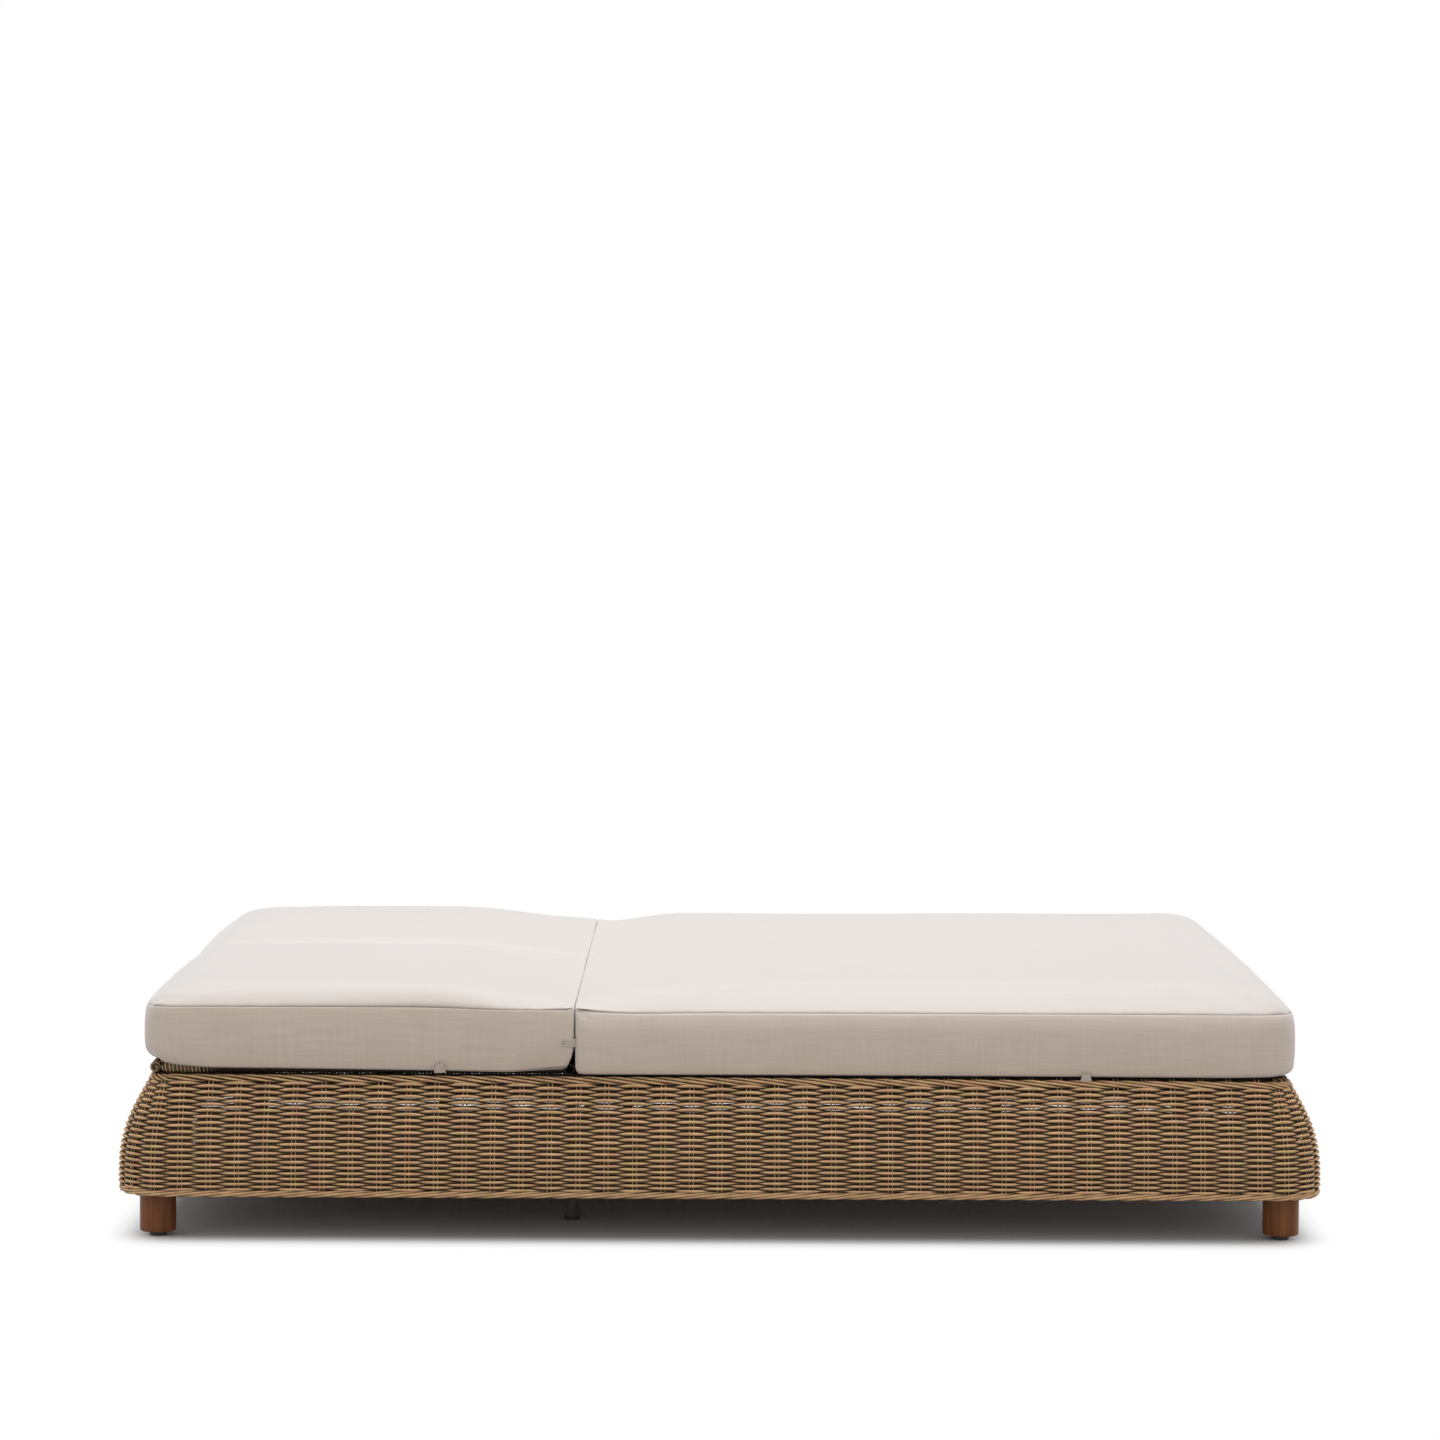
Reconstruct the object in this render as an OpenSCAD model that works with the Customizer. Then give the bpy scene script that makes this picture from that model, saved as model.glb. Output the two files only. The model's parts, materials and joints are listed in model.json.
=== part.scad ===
// Double sun lounger: a flared woven base on four wooden legs, two backs that recline one by one,
// two back cushions and one seat cushion.
// X runs from the head end (-) to the foot end (+), the near long side is at -Y and Z is up.
// The origin is on the floor under the middle of the base. All sizes are in millimetres.

/* [Base outline] */
// Length of the base at its widest
base_len = 2000; // [1900:10:2100]
// Depth of the base at its widest
base_dep = 1500; // [1420:10:1600]
// Plan radius of the base corners at the widest height
corner_r = 88; // [86:1:100]

/* [Woven skin] */
// Height of the skin's bottom edge above the floor
skin_bottom_z = 73; // [71:1:78]
// Height of the rim's top face
rim_z = 269; // [264:1:276]
// Thickness of the woven skin
skin_t = 12; // [10:0.5:13]
// How far the rim lies inside the widest outline
flare = 54; // [48:1:56]
// Slope of the skin under the rim, from upright
flare_deg = 29; // [28:0.5:31]
// Height where the upright foot of the skin starts to lean in
flare_start_z = 113; // [108:1:118]
// Radius of the skin's bottom lip
lip_r = 9; // [6:0.5:9.5]
// Thickness of the woven cap that folds over the top rails
cap_t = 6; // [4:0.5:7]
// Width of that cap, measured in from the rim
cap_w = 26; // [24:0.5:28]
// Chamfer along the rim's outer edge
rim_chamfer = 3; // [1:0.5:3.5]

/* [Legs] */
// Diameter of a wooden leg
leg_d = 60; // [50:1:62]
// Distance from a leg's centre to the widest outline
leg_inset = 68; // [64:1:72]
// Diameter of the glide under a wooden leg
glide_d = 28; // [22:1:36]
// Thickness of that glide
glide_h = 8; // [5:0.5:10]
// Diameter of the glide's stem
glide_stem_d = 6; // [5:0.5:8]
// Length of the glide's stem
glide_stem_len = 16; // [10:1:20]
// Shank diameter of a leg bolt
leg_bolt_d = 8; // [6:0.5:10]
// Depth of a leg bolt in the wood
leg_bolt_depth = 40; // [30:1:45]
// Width across flats of the leg bolt's head
leg_bolt_af = 13; // [11:0.5:14]
// Height of the leg bolt's head
leg_bolt_head_h = 5.5; // [4:0.5:6]
// Thickness of the plate on top of a leg
leg_plate_t = 5; // [4:0.5:6]
// How far a leg plate reaches in past the corner centres
leg_plate_in = 35; // [30:1:45]

/* [Middle supports] */
// Diameter of a middle support leg
mid_leg_d = 22; // [18:1:25]
// Distance of a middle support leg from the centre line
mid_leg_y = 520; // [450:5:580]
// Diameter of the glide under a middle support leg
mid_glide_d = 27; // [26:0.5:32]
// Thickness of that glide
mid_glide_h = 6; // [4:0.5:8]

/* [Steel frame] */
// Width of the rails and beams
rail_w = 25; // [24:0.5:25]
// Height of the top rails and beams
rail_h = 30; // [25:0.5:32]
// Height of the bottom rails
bottom_rail_h = 20; // [16:0.5:24]
// Wall thickness of the rails and beams
rail_wall = 2; // [1.5:0.25:2.5]
// Height of the bottom rails' underside above the skin's bottom edge
bottom_rail_up = 15; // [12:0.5:17]
// Diameter of a corner post
post_d = 25; // [20:0.5:28]
// How far the centre of a corner post lies in from the leg's centre, along X and Y
post_in = 17; // [16:0.5:20]
// Number of uprights along each long side
side_upright_count = 6; // [4:1:8]
// Number of uprights along each end
end_upright_count = 4; // [3:1:6]
// Width of an upright
upright_w = 20; // [15:1:30]
// Thickness of an upright
upright_t = 18; // [12:0.5:20]
// Number of slats under the seat cushion
slat_count = 8; // [6:1:10]
// Width of a slat
slat_w = 60; // [40:1:70]
// Height of a slat
slat_h = 10; // [8:0.5:11]
// Wall thickness of a slat
slat_wall = 1.5; // [1:0.25:2]
// Gap between the last slat and the foot rail
slat_end_gap = 10; // [5:1:30]

/* [Reclining backs] */
// Distance from the middle of the base to the hinge line, towards the head end
hinge_x = 250; // [230:5:280]
// Diameter of the wrapped tubes of a back
tube_d = 19; // [18:0.5:20]
// Wall thickness of those tubes, with their wrapping
tube_wall = 2.5; // [2:0.25:3]
// Gap between a lowered back and the rim it lies on
back_rest_gap = 0.5; // [0.4:0.1:0.8]
// Distance from the rim's edge to a back's outer edge, on the long sides
back_side_inset = 9.5; // [8:0.5:12]
// Gap between the two backs
back_gap = 13; // [10:0.5:18]
// Thickness of the woven panel in a back
web_t = 3.5; // [3:0.25:4]
// Distance of the inner hinge brackets from the centre line
bracket_in_y = 90; // [70:5:130]
// Distance of the outer hinge brackets from the centre line
bracket_out_y = 600; // [560:5:625]
// Width of a hinge bracket's eye along the hinge line
bracket_w = 8; // [6:0.5:10]
// Wall of a hinge bracket round the tube
bracket_wall = 3; // [2.5:0.25:3.5]
// Length of a hinge bracket's foot
bracket_foot_len = 44; // [38:1:52]
// Thickness of a hinge bracket's foot
bracket_foot_t = 3; // [2:0.25:3.5]
// Shank diameter of a bracket rivet
rivet_d = 6; // [4:0.5:7]
// Head diameter of a bracket rivet
rivet_head_d = 11; // [9.5:0.5:12]
// Head height of a bracket rivet
rivet_head_h = 2; // [1:0.25:2.25]
// Length of a rivet's shank from the top of the bracket's foot
rivet_len = 7; // [6:0.5:9]
// Distance from a rivet's head to the end of the bracket's foot
rivet_edge = 1; // [0.5:0.5:2]

/* [Stays] */
// Distance from a back's head tube to the foot bar of its lowered stay
stay_foot_in = 66.5; // [60:0.5:110]
// Diameter of the stay's foot bar and height of its arms
stay_d = 11; // [9:0.5:11]
// Thickness of a stay arm
stay_arm_t = 6; // [5:0.5:8]
// Gap between a stay arm and the back's side tube
stay_side_gap = 8; // [5:0.5:14]
// Diameter of a stay's pivot pin
pivot_d = 8; // [6:0.5:8.5]
// How far a pivot pin reaches past the tube's inner wall
pivot_reach = 10; // [7:0.5:12]
// Thickness of a notched rack
rack_t = 6; // [5:0.5:8]
// Distance from a rack to the stay arm beside it
rack_inset = 40; // [30:1:80]
// Gap between the foot bar and the top of the racks
rack_gap = 0.5; // [0.4:0.1:0.8]
// Radius of a rack's notches
notch_r = 6; // [5.75:0.25:6.5]
// How far a rack runs past its end notches
rack_end = 22; // [15:1:30]
// Angle between two positions of a back
notch_step_deg = 15; // [12:1:15]
// Number of raised positions of a back
notch_count = 4; // [3:1:4]

/* [Cushions] */
// How far the cushions overhang the rim at the ends
cushion_over_x = 9; // [5:0.5:16]
// How far the cushions overhang the rim on the long sides
cushion_over_y = 8; // [6:0.5:14]
// Height of the seat cushion's side from its underside to its top seam
seat_side_h = 108; // [100:1:118]
// Height of a back cushion's side at its hinge end
back_side_h = 88; // [82:1:96]
// Rise of the seat cushion's crown above its top seam
seat_crown = 25; // [16:1:32]
// Rise of a back cushion's crown above its top seam
back_crown = 30; // [20:1:36]
// How much higher the head end of a back cushion is than its hinge end
back_slope = 8; // [0:1:14]
// Distance of the joint between seat and back cushions from the hinge line, towards the foot end
joint_ahead = 9; // [5:0.5:11]
// Gap between neighbouring cushions
cushion_gap = 4; // [2:0.5:8]
// Gap under a cushion and beside the tapes on it
soft_gap = 0.3; // [0.2:0.05:0.5]
// Plan radius of the cushions' outer corners
cushion_corner_r = 46; // [30:1:60]
// Plan radius of the cushion corners that meet another cushion
cushion_inner_r = 16; // [10:1:24]
// How far a cushion's sides pull in between its corners
side_draw = 4; // [0:0.5:8]
// Width of the round along a cushion's bottom edge
foot_round_w = 22; // [14:1:28]
// Height of that round
foot_round_h = 24; // [16:1:30]
// How far the top seam lies inside the widest part of the side
seam_in = 3; // [1:0.5:6]

/* [Tapes] */
// Width of a tie tape
tie_w = 17; // [12:1:24]
// Thickness of a tie tape
tie_t = 3; // [2:0.5:4]
// Drop of a back cushion's tie tape below the cushion's bottom edge
back_tie_drop = 9; // [6:0.5:10]
// Drop of a seat cushion's tie tape below the cushion's bottom edge
seat_tie_drop = 3.5; // [2:0.5:4]
// Distance of the back cushions' ties from the middle of the base, towards the head end
back_tie_x = 463; // [420:1:520]
// Distance of the seat cushion's ties from the middle of the base
seat_tie_x = 605; // [560:1:650]
// Width of the gathered tape that links a back cushion to the seat cushion
link_w = 10; // [8:0.5:10]
// How far that tape's face lies inside the cushions' sides
link_in = 3; // [2:0.5:4]
// Height of that tape
link_h = 18; // [12:1:24]
// Height of the link tape's middle above the seat cushion's underside
link_up = 52; // [40:1:70]

/* [Hidden] */

$fn = 48;

// Running clearance of a pin in its bore, clearance of a fixed bolt, and a cut's overshoot
run_gap = 0.05;
bolt_gap = 0.1;
seat_gap = 0.3;
over = 1;

woven_colour = "#a5875f";
steel_colour = "#3a332e";
zinc_colour = "#9a9a98";
wood_colour = "#82553a";
glide_colour = "#1c1815";
fabric_colour = "#e2dcd6";
tape_colour = "#efece8";

// Outline of the base and the centres of its rounded corners
half_x = base_len / 2;
half_y = base_dep / 2;
corner_x = half_x - corner_r;
corner_y = half_y - corner_r;

// The skin stands upright, then follows an arc, then leans straight in to the rim
flare_tan = tan(flare_deg);
flare_r = ((rim_z - flare_start_z) * flare_tan - flare)
    / (flare_tan * sin(flare_deg) - (1 - cos(flare_deg)));
arc_top_z = flare_start_z + flare_r * sin(flare_deg);
arc_steps = 8;
function skin_inset(z) =
    z <= flare_start_z ? 0
    : z <= arc_top_z ? flare_r - sqrt(pow(flare_r, 2) - pow(z - flare_start_z, 2))
    : flare - (rim_z - z) * flare_tan;

// Top rails sit under the skin's cap, against its inner face
rail_top_z = rim_z - cap_t;
rail_under_z = rail_top_z - rail_h;
top_inset = skin_inset(rail_top_z) + skin_t + seat_gap;
top_out_r = corner_r - top_inset;

// Half length of a cross beam between the side rails, and of a beam between the end rails
cross_half_y = corner_y + top_out_r - rail_w;
long_half_x = corner_x + top_out_r - rail_w;

// Half length of the top rails of the ends, which stop at the corner centres or at the side rails
end_half_y = min(corner_y, cross_half_y);

// Bottom rails sit against the upright foot of the skin
bottom_z = skin_bottom_z + bottom_rail_up;
bottom_top_z = bottom_z + bottom_rail_h;
bottom_out_r = corner_r - skin_t - seat_gap;
plate_z = bottom_z - leg_plate_t;
leg_x = half_x - leg_inset;
leg_y = half_y - leg_inset;
post_out = leg_x - corner_x - post_in;

// The backs lie on the rim, and turn about the middle of their hinge tubes
tube_r = tube_d / 2;
axis_z = rim_z + back_rest_gap + tube_r;
back_out_y = half_y - flare - back_side_inset;
back_in_y = back_gap / 2;
outer_tube_y = back_out_y - tube_r;
inner_tube_y = back_in_y + tube_r;
head_tube_x = half_x - flare - tube_r;
web_top_z = axis_z + tube_r;
web_under_z = web_top_z - web_t;
web_reach = sqrt(pow(tube_r, 2) - pow(tube_r - web_t, 2)) + seat_gap;
web_clear = tube_r + bracket_wall + seat_gap;
eye_r = tube_r + run_gap;
eye_out_r = tube_r + bracket_wall;
bracket_foot_y = bracket_foot_len / 2;
rivet_y = bracket_foot_y - rivet_head_d / 2 - rivet_edge;

// A raised back and its stay form an equal-sided triangle over the racks: the stay is as long as the
// distance from the hinge line to its pivot, and lowered it reaches as far again
stay_r = stay_d / 2;
stay_len = (head_tube_x - hinge_x - stay_foot_in) / 2;
pivot_x = hinge_x + stay_len;
foot_x = hinge_x + 2 * stay_len;
outer_arm_y = outer_tube_y - tube_r - stay_side_gap - stay_arm_t;
inner_arm_y = inner_tube_y + tube_r + stay_side_gap;
rack_top_z = axis_z - stay_r - rack_gap;
last_notch_x = hinge_x + 2 * stay_len * cos(notch_step_deg * notch_count);
rack_near_x = last_notch_x - rack_end;
rack_far_x = foot_x + rack_end;
rack_outer_y = outer_arm_y - rack_inset;
rack_inner_y = inner_arm_y + stay_arm_t + rack_inset;

// Cushions
cushion_x = half_x - flare + cushion_over_x;
cushion_y = half_y - flare + cushion_over_y;
joint_x = hinge_x - joint_ahead;
seat_under_z = rail_top_z + slat_h + soft_gap;
back_under_z = web_top_z + soft_gap;

// Slats run from the first one behind the hinge beam to the last one before the foot rail
slat_first_x = -hinge_x + rail_w + slat_w / 2;
slat_last_x = half_x - top_inset - rail_w - slat_end_gap - slat_w / 2;
slat_half_y = half_y - flare - cap_w - seat_gap;

// Woven skin

// Section of the skin: x is the distance out from the corner centres, y is the height
module skin_section() {
    lip_steps = 6;
    lip_c = [corner_r - lip_r, skin_bottom_z + lip_r];
    lip = [for (k = [0:lip_steps]) lip_c + lip_r * [sin(90 * k / lip_steps), -cos(90 * k / lip_steps)]];
    rise = [for (k = [0:arc_steps]) flare_start_z + (arc_top_z - flare_start_z) * k / arc_steps];
    outer = [for (z = rise) [corner_r - skin_inset(z), z]];
    inner = [for (k = [arc_steps:-1:0]) [corner_r - skin_inset(rise[k]) - skin_t, rise[k]]];
    chamfer_z = rim_z - rim_chamfer;
    top = [
        [corner_r - skin_inset(chamfer_z), chamfer_z],
        [corner_r - flare - rim_chamfer, rim_z],
        [corner_r - flare - cap_w, rim_z],
        [corner_r - flare - cap_w, rail_top_z],
        [corner_r - skin_inset(rail_top_z) - skin_t, rail_top_z]
    ];
    foot = [[corner_r - skin_t, skin_bottom_z]];
    polygon(concat(lip, outer, top, inner, foot));
}

// Straight run of the skin at a distance from the middle, centred across it
module skin_run(dist, run) {
    translate([dist, run / 2, 0]) rotate([90, 0, 0]) linear_extrude(run) skin_section();
}

module wicker_side_wall() {
    color(woven_colour) rotate([0, 0, -90]) skin_run(corner_y, 2 * corner_x);
}

module wicker_end_wall() {
    color(woven_colour) union() {
        skin_run(corner_x, 2 * corner_y);
        translate([corner_x, corner_y, 0]) rotate_extrude(angle = 90) skin_section();
        translate([corner_x, -corner_y, 0]) rotate([0, 0, -90]) rotate_extrude(angle = 90) skin_section();
    }
}

// Steel frame

// Hollow bar from a low corner to a high corner, open along one axis: 0 for X, 1 for Y, 2 for Z
module hollow_bar(low, high, along, wall) {
    size = high - low;
    cut_low = [for (k = [0:2]) k == along ? -over : wall];
    cut_size = [for (k = [0:2]) k == along ? size[k] + 2 * over : size[k] - 2 * wall];
    translate(low) difference() {
        cube(size);
        translate(cut_low) cube(cut_size);
    }
}

module side_top_rail() {
    in_y = cross_half_y;
    low = [-corner_x, -in_y - rail_w, rail_under_z];
    color(steel_colour) hollow_bar(low, [corner_x, -in_y, rail_top_z], 0, rail_wall);
}

module end_top_rail() {
    in_x = long_half_x;
    high = [in_x + rail_w, end_half_y, rail_top_z];
    color(steel_colour) hollow_bar([in_x, -end_half_y, rail_under_z], high, 1, rail_wall);
}

module side_bottom_rail() {
    in_y = corner_y + bottom_out_r - rail_w;
    low = [-corner_x, -in_y - rail_w, bottom_z];
    color(steel_colour) hollow_bar(low, [corner_x, -in_y, bottom_top_z], 0, rail_wall);
}

module end_bottom_rail() {
    in_x = corner_x + bottom_out_r - rail_w;
    high = [in_x + rail_w, corner_y, bottom_top_z];
    color(steel_colour) hollow_bar([in_x, -corner_y, bottom_z], high, 1, rail_wall);
}

// Places its children at the four corner centres, turned so that +X and +Y point outwards
module at_corners() {
    for (mx = [0, 1], my = [0, 1])
        mirror([mx, 0, 0]) mirror([0, my, 0]) translate([corner_x, corner_y, 0]) children();
}

module bottom_corner_bends() {
    color(steel_colour) at_corners() translate([0, 0, bottom_z]) rotate_extrude(angle = 90)
        difference() {
            translate([bottom_out_r - rail_w, 0]) square([rail_w, bottom_rail_h]);
            translate([bottom_out_r - rail_w + rail_wall, rail_wall])
                square([rail_w - 2 * rail_wall, bottom_rail_h - 2 * rail_wall]);
        }
}

// Each post stands on a leg plate and has a quarter-round head that joins two top rails
module corner_posts() {
    color(steel_colour) at_corners() union() {
        translate([0, 0, rail_under_z]) rotate_extrude(angle = 90) square([top_out_r, rail_h]);
        translate([post_out, post_out, bottom_z]) cylinder(d = post_d, h = rail_under_z - bottom_z);
    }
}

// Leaning upright between a bottom rail and the top rail above it: x is the distance out
module upright() {
    low = bottom_out_r - seat_gap;
    high = top_out_r - seat_gap;
    rotate([90, 0, 0]) linear_extrude(upright_w, center = true) polygon([
        [low, bottom_top_z], [high, rail_under_z],
        [high - upright_t, rail_under_z], [low - upright_t, bottom_top_z]
    ]);
}

module side_uprights() {
    pitch = 2 * corner_x / side_upright_count;
    color(steel_colour) for (my = [0, 1], k = [0:side_upright_count - 1])
        mirror([0, my, 0]) translate([-corner_x + pitch * (k + 0.5), corner_y, 0])
            rotate([0, 0, 90]) upright();
}

module end_uprights() {
    pitch = 2 * corner_y / end_upright_count;
    color(steel_colour) for (mx = [0, 1], k = [0:end_upright_count - 1])
        mirror([mx, 0, 0]) translate([corner_x, -corner_y + pitch * (k + 0.5), 0]) upright();
}

module cross_beam(x) {
    low = [x - rail_w / 2, -cross_half_y, rail_under_z];
    hollow_bar(low, [x + rail_w / 2, cross_half_y, rail_top_z], 1, rail_wall);
}

// Places its children at every hinge bracket of one back, on the hinge line
module at_brackets() {
    for (y = [bracket_in_y, bracket_out_y]) translate([-hinge_x, y, 0]) children();
}

module hinge_beam() {
    color(steel_colour) difference() {
        cross_beam(-hinge_x);
        for (my = [0, 1], s = [-1, 1]) mirror([0, my, 0]) at_brackets()
            translate([0, s * rivet_y, rail_top_z - rail_wall - over])
                cylinder(r = rivet_d / 2 + bolt_gap, h = rail_wall + 2 * over);
    }
}

module rack_beams() {
    color(steel_colour) for (x = [rack_near_x + rack_end, rack_far_x - rack_end]) cross_beam(-x);
}

module seat_centre_beam() {
    low = [-hinge_x + rail_w / 2, -rail_w / 2, rail_under_z];
    color(steel_colour) hollow_bar(low, [long_half_x, rail_w / 2, rail_top_z], 0, rail_wall);
}

module seat_slats() {
    pitch = (slat_last_x - slat_first_x) / (slat_count - 1);
    color(steel_colour) for (k = [0:slat_count - 1]) translate([slat_first_x + pitch * k, 0, rail_top_z])
        hollow_bar([-slat_w / 2, -slat_half_y, 0], [slat_w / 2, slat_half_y, slat_h], 1, slat_wall);
}

// Legs

// Places its children under the four leg centres: mx and my choose head or foot, near or far
module at_leg(mx, my) {
    translate([mx * leg_x, my * leg_y, 0]) children();
}

module wooden_leg() {
    color(wood_colour) difference() {
        translate([0, 0, glide_h]) cylinder(d = leg_d, h = plate_z - glide_h);
        translate([0, 0, plate_z - leg_bolt_depth - over])
            cylinder(r = leg_bolt_d / 2 + bolt_gap, h = leg_bolt_depth + 2 * over);
        translate([0, 0, glide_h - over])
            cylinder(r = glide_stem_d / 2 + bolt_gap, h = glide_stem_len + 2 * over);
    }
}

module leg_plates() {
    color(steel_colour) at_corners() translate([0, 0, plate_z]) difference() {
        union() {
            translate([-leg_plate_in, -leg_plate_in, 0])
                cube([leg_plate_in, leg_plate_in + bottom_out_r, leg_plate_t]);
            translate([-leg_plate_in, -leg_plate_in, 0])
                cube([leg_plate_in + bottom_out_r, leg_plate_in, leg_plate_t]);
            rotate_extrude(angle = 90) square([bottom_out_r, leg_plate_t]);
        }
        translate([leg_x - corner_x, leg_y - corner_y, -over])
            cylinder(r = leg_bolt_d / 2 + bolt_gap, h = leg_plate_t + 2 * over);
    }
}

module leg_bolts() {
    color(zinc_colour) for (mx = [-1, 1], my = [-1, 1]) at_leg(mx, my) union() {
        translate([0, 0, bottom_z]) cylinder(d = leg_bolt_af / cos(30), h = leg_bolt_head_h, $fn = 6);
        translate([0, 0, plate_z - leg_bolt_depth])
            cylinder(d = leg_bolt_d, h = leg_bolt_depth + leg_plate_t);
    }
}

module leg_glides() {
    color(glide_colour) for (mx = [-1, 1], my = [-1, 1]) at_leg(mx, my) union() {
        cylinder(d = glide_d, h = glide_h);
        translate([0, 0, glide_h]) cylinder(d = glide_stem_d, h = glide_stem_len);
    }
}

module mid_leg() {
    color(steel_colour) translate([-hinge_x, mid_leg_y, mid_glide_h])
        cylinder(d = mid_leg_d, h = rail_under_z - mid_glide_h);
}

module mid_leg_glides() {
    color(glide_colour) for (my = [-1, 1]) translate([-hinge_x, my * mid_leg_y, 0])
        cylinder(d = mid_glide_d, h = mid_glide_h);
}

// Hinges

module hinge_brackets() {
    color(zinc_colour) at_brackets() difference() {
        union() {
            translate([-eye_out_r, -bracket_w / 2, rail_top_z])
                cube([2 * eye_out_r, bracket_w, axis_z - rail_top_z]);
            translate([0, bracket_w / 2, axis_z]) rotate([90, 0, 0]) cylinder(r = eye_out_r, h = bracket_w);
            translate([-rail_w / 2, -bracket_foot_y, rail_top_z])
                cube([rail_w, bracket_foot_len, bracket_foot_t]);
        }
        translate([0, bracket_foot_len, axis_z]) rotate([90, 0, 0])
            cylinder(r = eye_r, h = 2 * bracket_foot_len);
        for (s = [-1, 1]) translate([0, s * rivet_y, rail_top_z - over])
            cylinder(r = rivet_d / 2 + bolt_gap, h = bracket_foot_t + 2 * over);
    }
}

module bracket_rivets() {
    color(zinc_colour) for (my = [0, 1], s = [-1, 1]) mirror([0, my, 0]) at_brackets()
        translate([0, s * rivet_y, rail_top_z + bracket_foot_t]) union() {
            cylinder(d = rivet_head_d, h = rivet_head_h);
            translate([0, 0, -rivet_len]) cylinder(d = rivet_d, h = rivet_len);
        }
}

// Notched racks, standing on the rack beams
module rack(y) {
    translate([0, y + rack_t / 2, 0]) difference() {
        translate([-rack_far_x, -rack_t, rail_top_z])
            cube([rack_far_x - rack_near_x, rack_t, rack_top_z - rail_top_z]);
        for (k = [0:notch_count]) let (x = hinge_x + 2 * stay_len * cos(notch_step_deg * k))
            translate([-x, over, rack_top_z]) rotate([90, 0, 0]) cylinder(r = notch_r, h = rack_t + 2 * over);
    }
}

module stay_racks() {
    color(zinc_colour) for (y = [rack_inner_y, rack_outer_y]) rack(y);
}

// Reclining backs, drawn on the +Y side

// Round tube along Y at a distance towards the head end
module cross_tube(x) {
    translate([-x, back_out_y, axis_z]) rotate([90, 0, 0]) difference() {
        cylinder(r = tube_r, h = back_out_y - back_in_y);
        translate([0, 0, -over]) cylinder(r = tube_r - tube_wall, h = back_out_y - back_in_y + 2 * over);
    }
}

// Side tube with ends cut round the cross tubes, and a bore for a stay's pin in the wall that faces
// the stay: dir is that way along Y
module side_tube(y, dir) {
    difference() {
        translate([-head_tube_x, y, axis_z]) rotate([0, 90, 0])
            cylinder(r = tube_r, h = head_tube_x - hinge_x);
        for (x = [head_tube_x, hinge_x]) translate([-x, y + tube_d, axis_z]) rotate([90, 0, 0])
            cylinder(r = tube_r + seat_gap, h = 2 * tube_d);
        translate([-head_tube_x - over, y, axis_z]) rotate([0, 90, 0])
            cylinder(r = tube_r - tube_wall, h = head_tube_x - hinge_x + 2 * over);
        translate([-pivot_x, y, axis_z]) rotate([-90 * dir, 0, 0])
            cylinder(r = pivot_d / 2 + run_gap, h = tube_d);
    }
}

module back_web() {
    size_x = head_tube_x - hinge_x - web_reach - web_clear;
    size_y = outer_tube_y - inner_tube_y - 2 * web_reach;
    color(woven_colour) translate([-head_tube_x + web_reach, inner_tube_y + web_reach, web_under_z])
        cube([size_x, size_y, web_t]);
}

// Stays, drawn on the +Y side

module stay_arms() {
    color(zinc_colour) for (y = [inner_arm_y, outer_arm_y]) difference() {
        union() {
            translate([-foot_x, y, axis_z - stay_r]) cube([stay_len, stay_arm_t, stay_d]);
            for (x = [foot_x, pivot_x]) translate([-x, y + stay_arm_t, axis_z]) rotate([90, 0, 0])
                cylinder(r = stay_r, h = stay_arm_t);
        }
        translate([-pivot_x, y + stay_arm_t + over, axis_z]) rotate([90, 0, 0])
            cylinder(r = pivot_d / 2 + run_gap, h = stay_arm_t + 2 * over);
    }
}

module stay_foot_bar() {
    color(zinc_colour) translate([-foot_x, outer_arm_y, axis_z]) rotate([90, 0, 0])
        cylinder(r = stay_r, h = outer_arm_y - inner_arm_y - stay_arm_t);
}

module stay_pins() {
    pin_len = stay_arm_t + stay_side_gap + pivot_reach;
    color(zinc_colour) {
        translate([-pivot_x, outer_arm_y, axis_z]) rotate([-90, 0, 0]) cylinder(d = pivot_d, h = pin_len);
        translate([-pivot_x, inner_arm_y + stay_arm_t, axis_z]) rotate([90, 0, 0])
            cylinder(d = pivot_d, h = pin_len);
    }
}

// Cushions

// Quarter-round of the bottom edge as shares of its size: one falls from 1 to 0 as the other rises
function foot_share(t) = 1 - sqrt(1 - pow(1 - t, 2));

// Steps round a corner and along a side of a cushion's plan
corner_steps = 6;
side_steps = 7;

// Plan outline about the cushion's centre: a and b are its half sizes, radii start at +X +Y and go round,
// and each side bows in between its corners as a half wave
function plan_corner(a, b, r, k) =
    let (sx = k == 0 || k == 3 ? 1 : -1, sy = k < 2 ? 1 : -1)
    [for (j = [0:corner_steps]) let (t = 90 * k + 90 * j / corner_steps)
        [sx * (a - r) + r * cos(t), sy * (b - r) + r * sin(t)]];
function plan_side(p, q, n) =
    [for (j = [1:side_steps]) let (t = j / (side_steps + 1)) p + (q - p) * t - n * side_draw * sin(180 * t)];
side_normal = [[0, 1], [-1, 0], [0, -1], [1, 0]];
function plan(a, b, radii) =
    let (c = [for (k = [0:3]) plan_corner(a, b, radii[k], k)])
    [for (k = [0:3]) each concat(c[k], plan_side(c[k][corner_steps], c[(k + 1) % 4][0], side_normal[k]))];

// Rings of a cushion from its underside to its crown: insets of the underside, shares of the rounded
// edge's height, shares of the side's height with those of the seam's inset, and insets of the crown
under_insets = [300, 120, 50];
foot_shares = [0, 0.12, 0.33, 0.63, 1];
side_shares = [[0.5, 0], [0.8, 0.3], [1, 1]];
crown_insets = [5, 13, 25, 42, 70, 110, 170, 250, 320];

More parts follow.
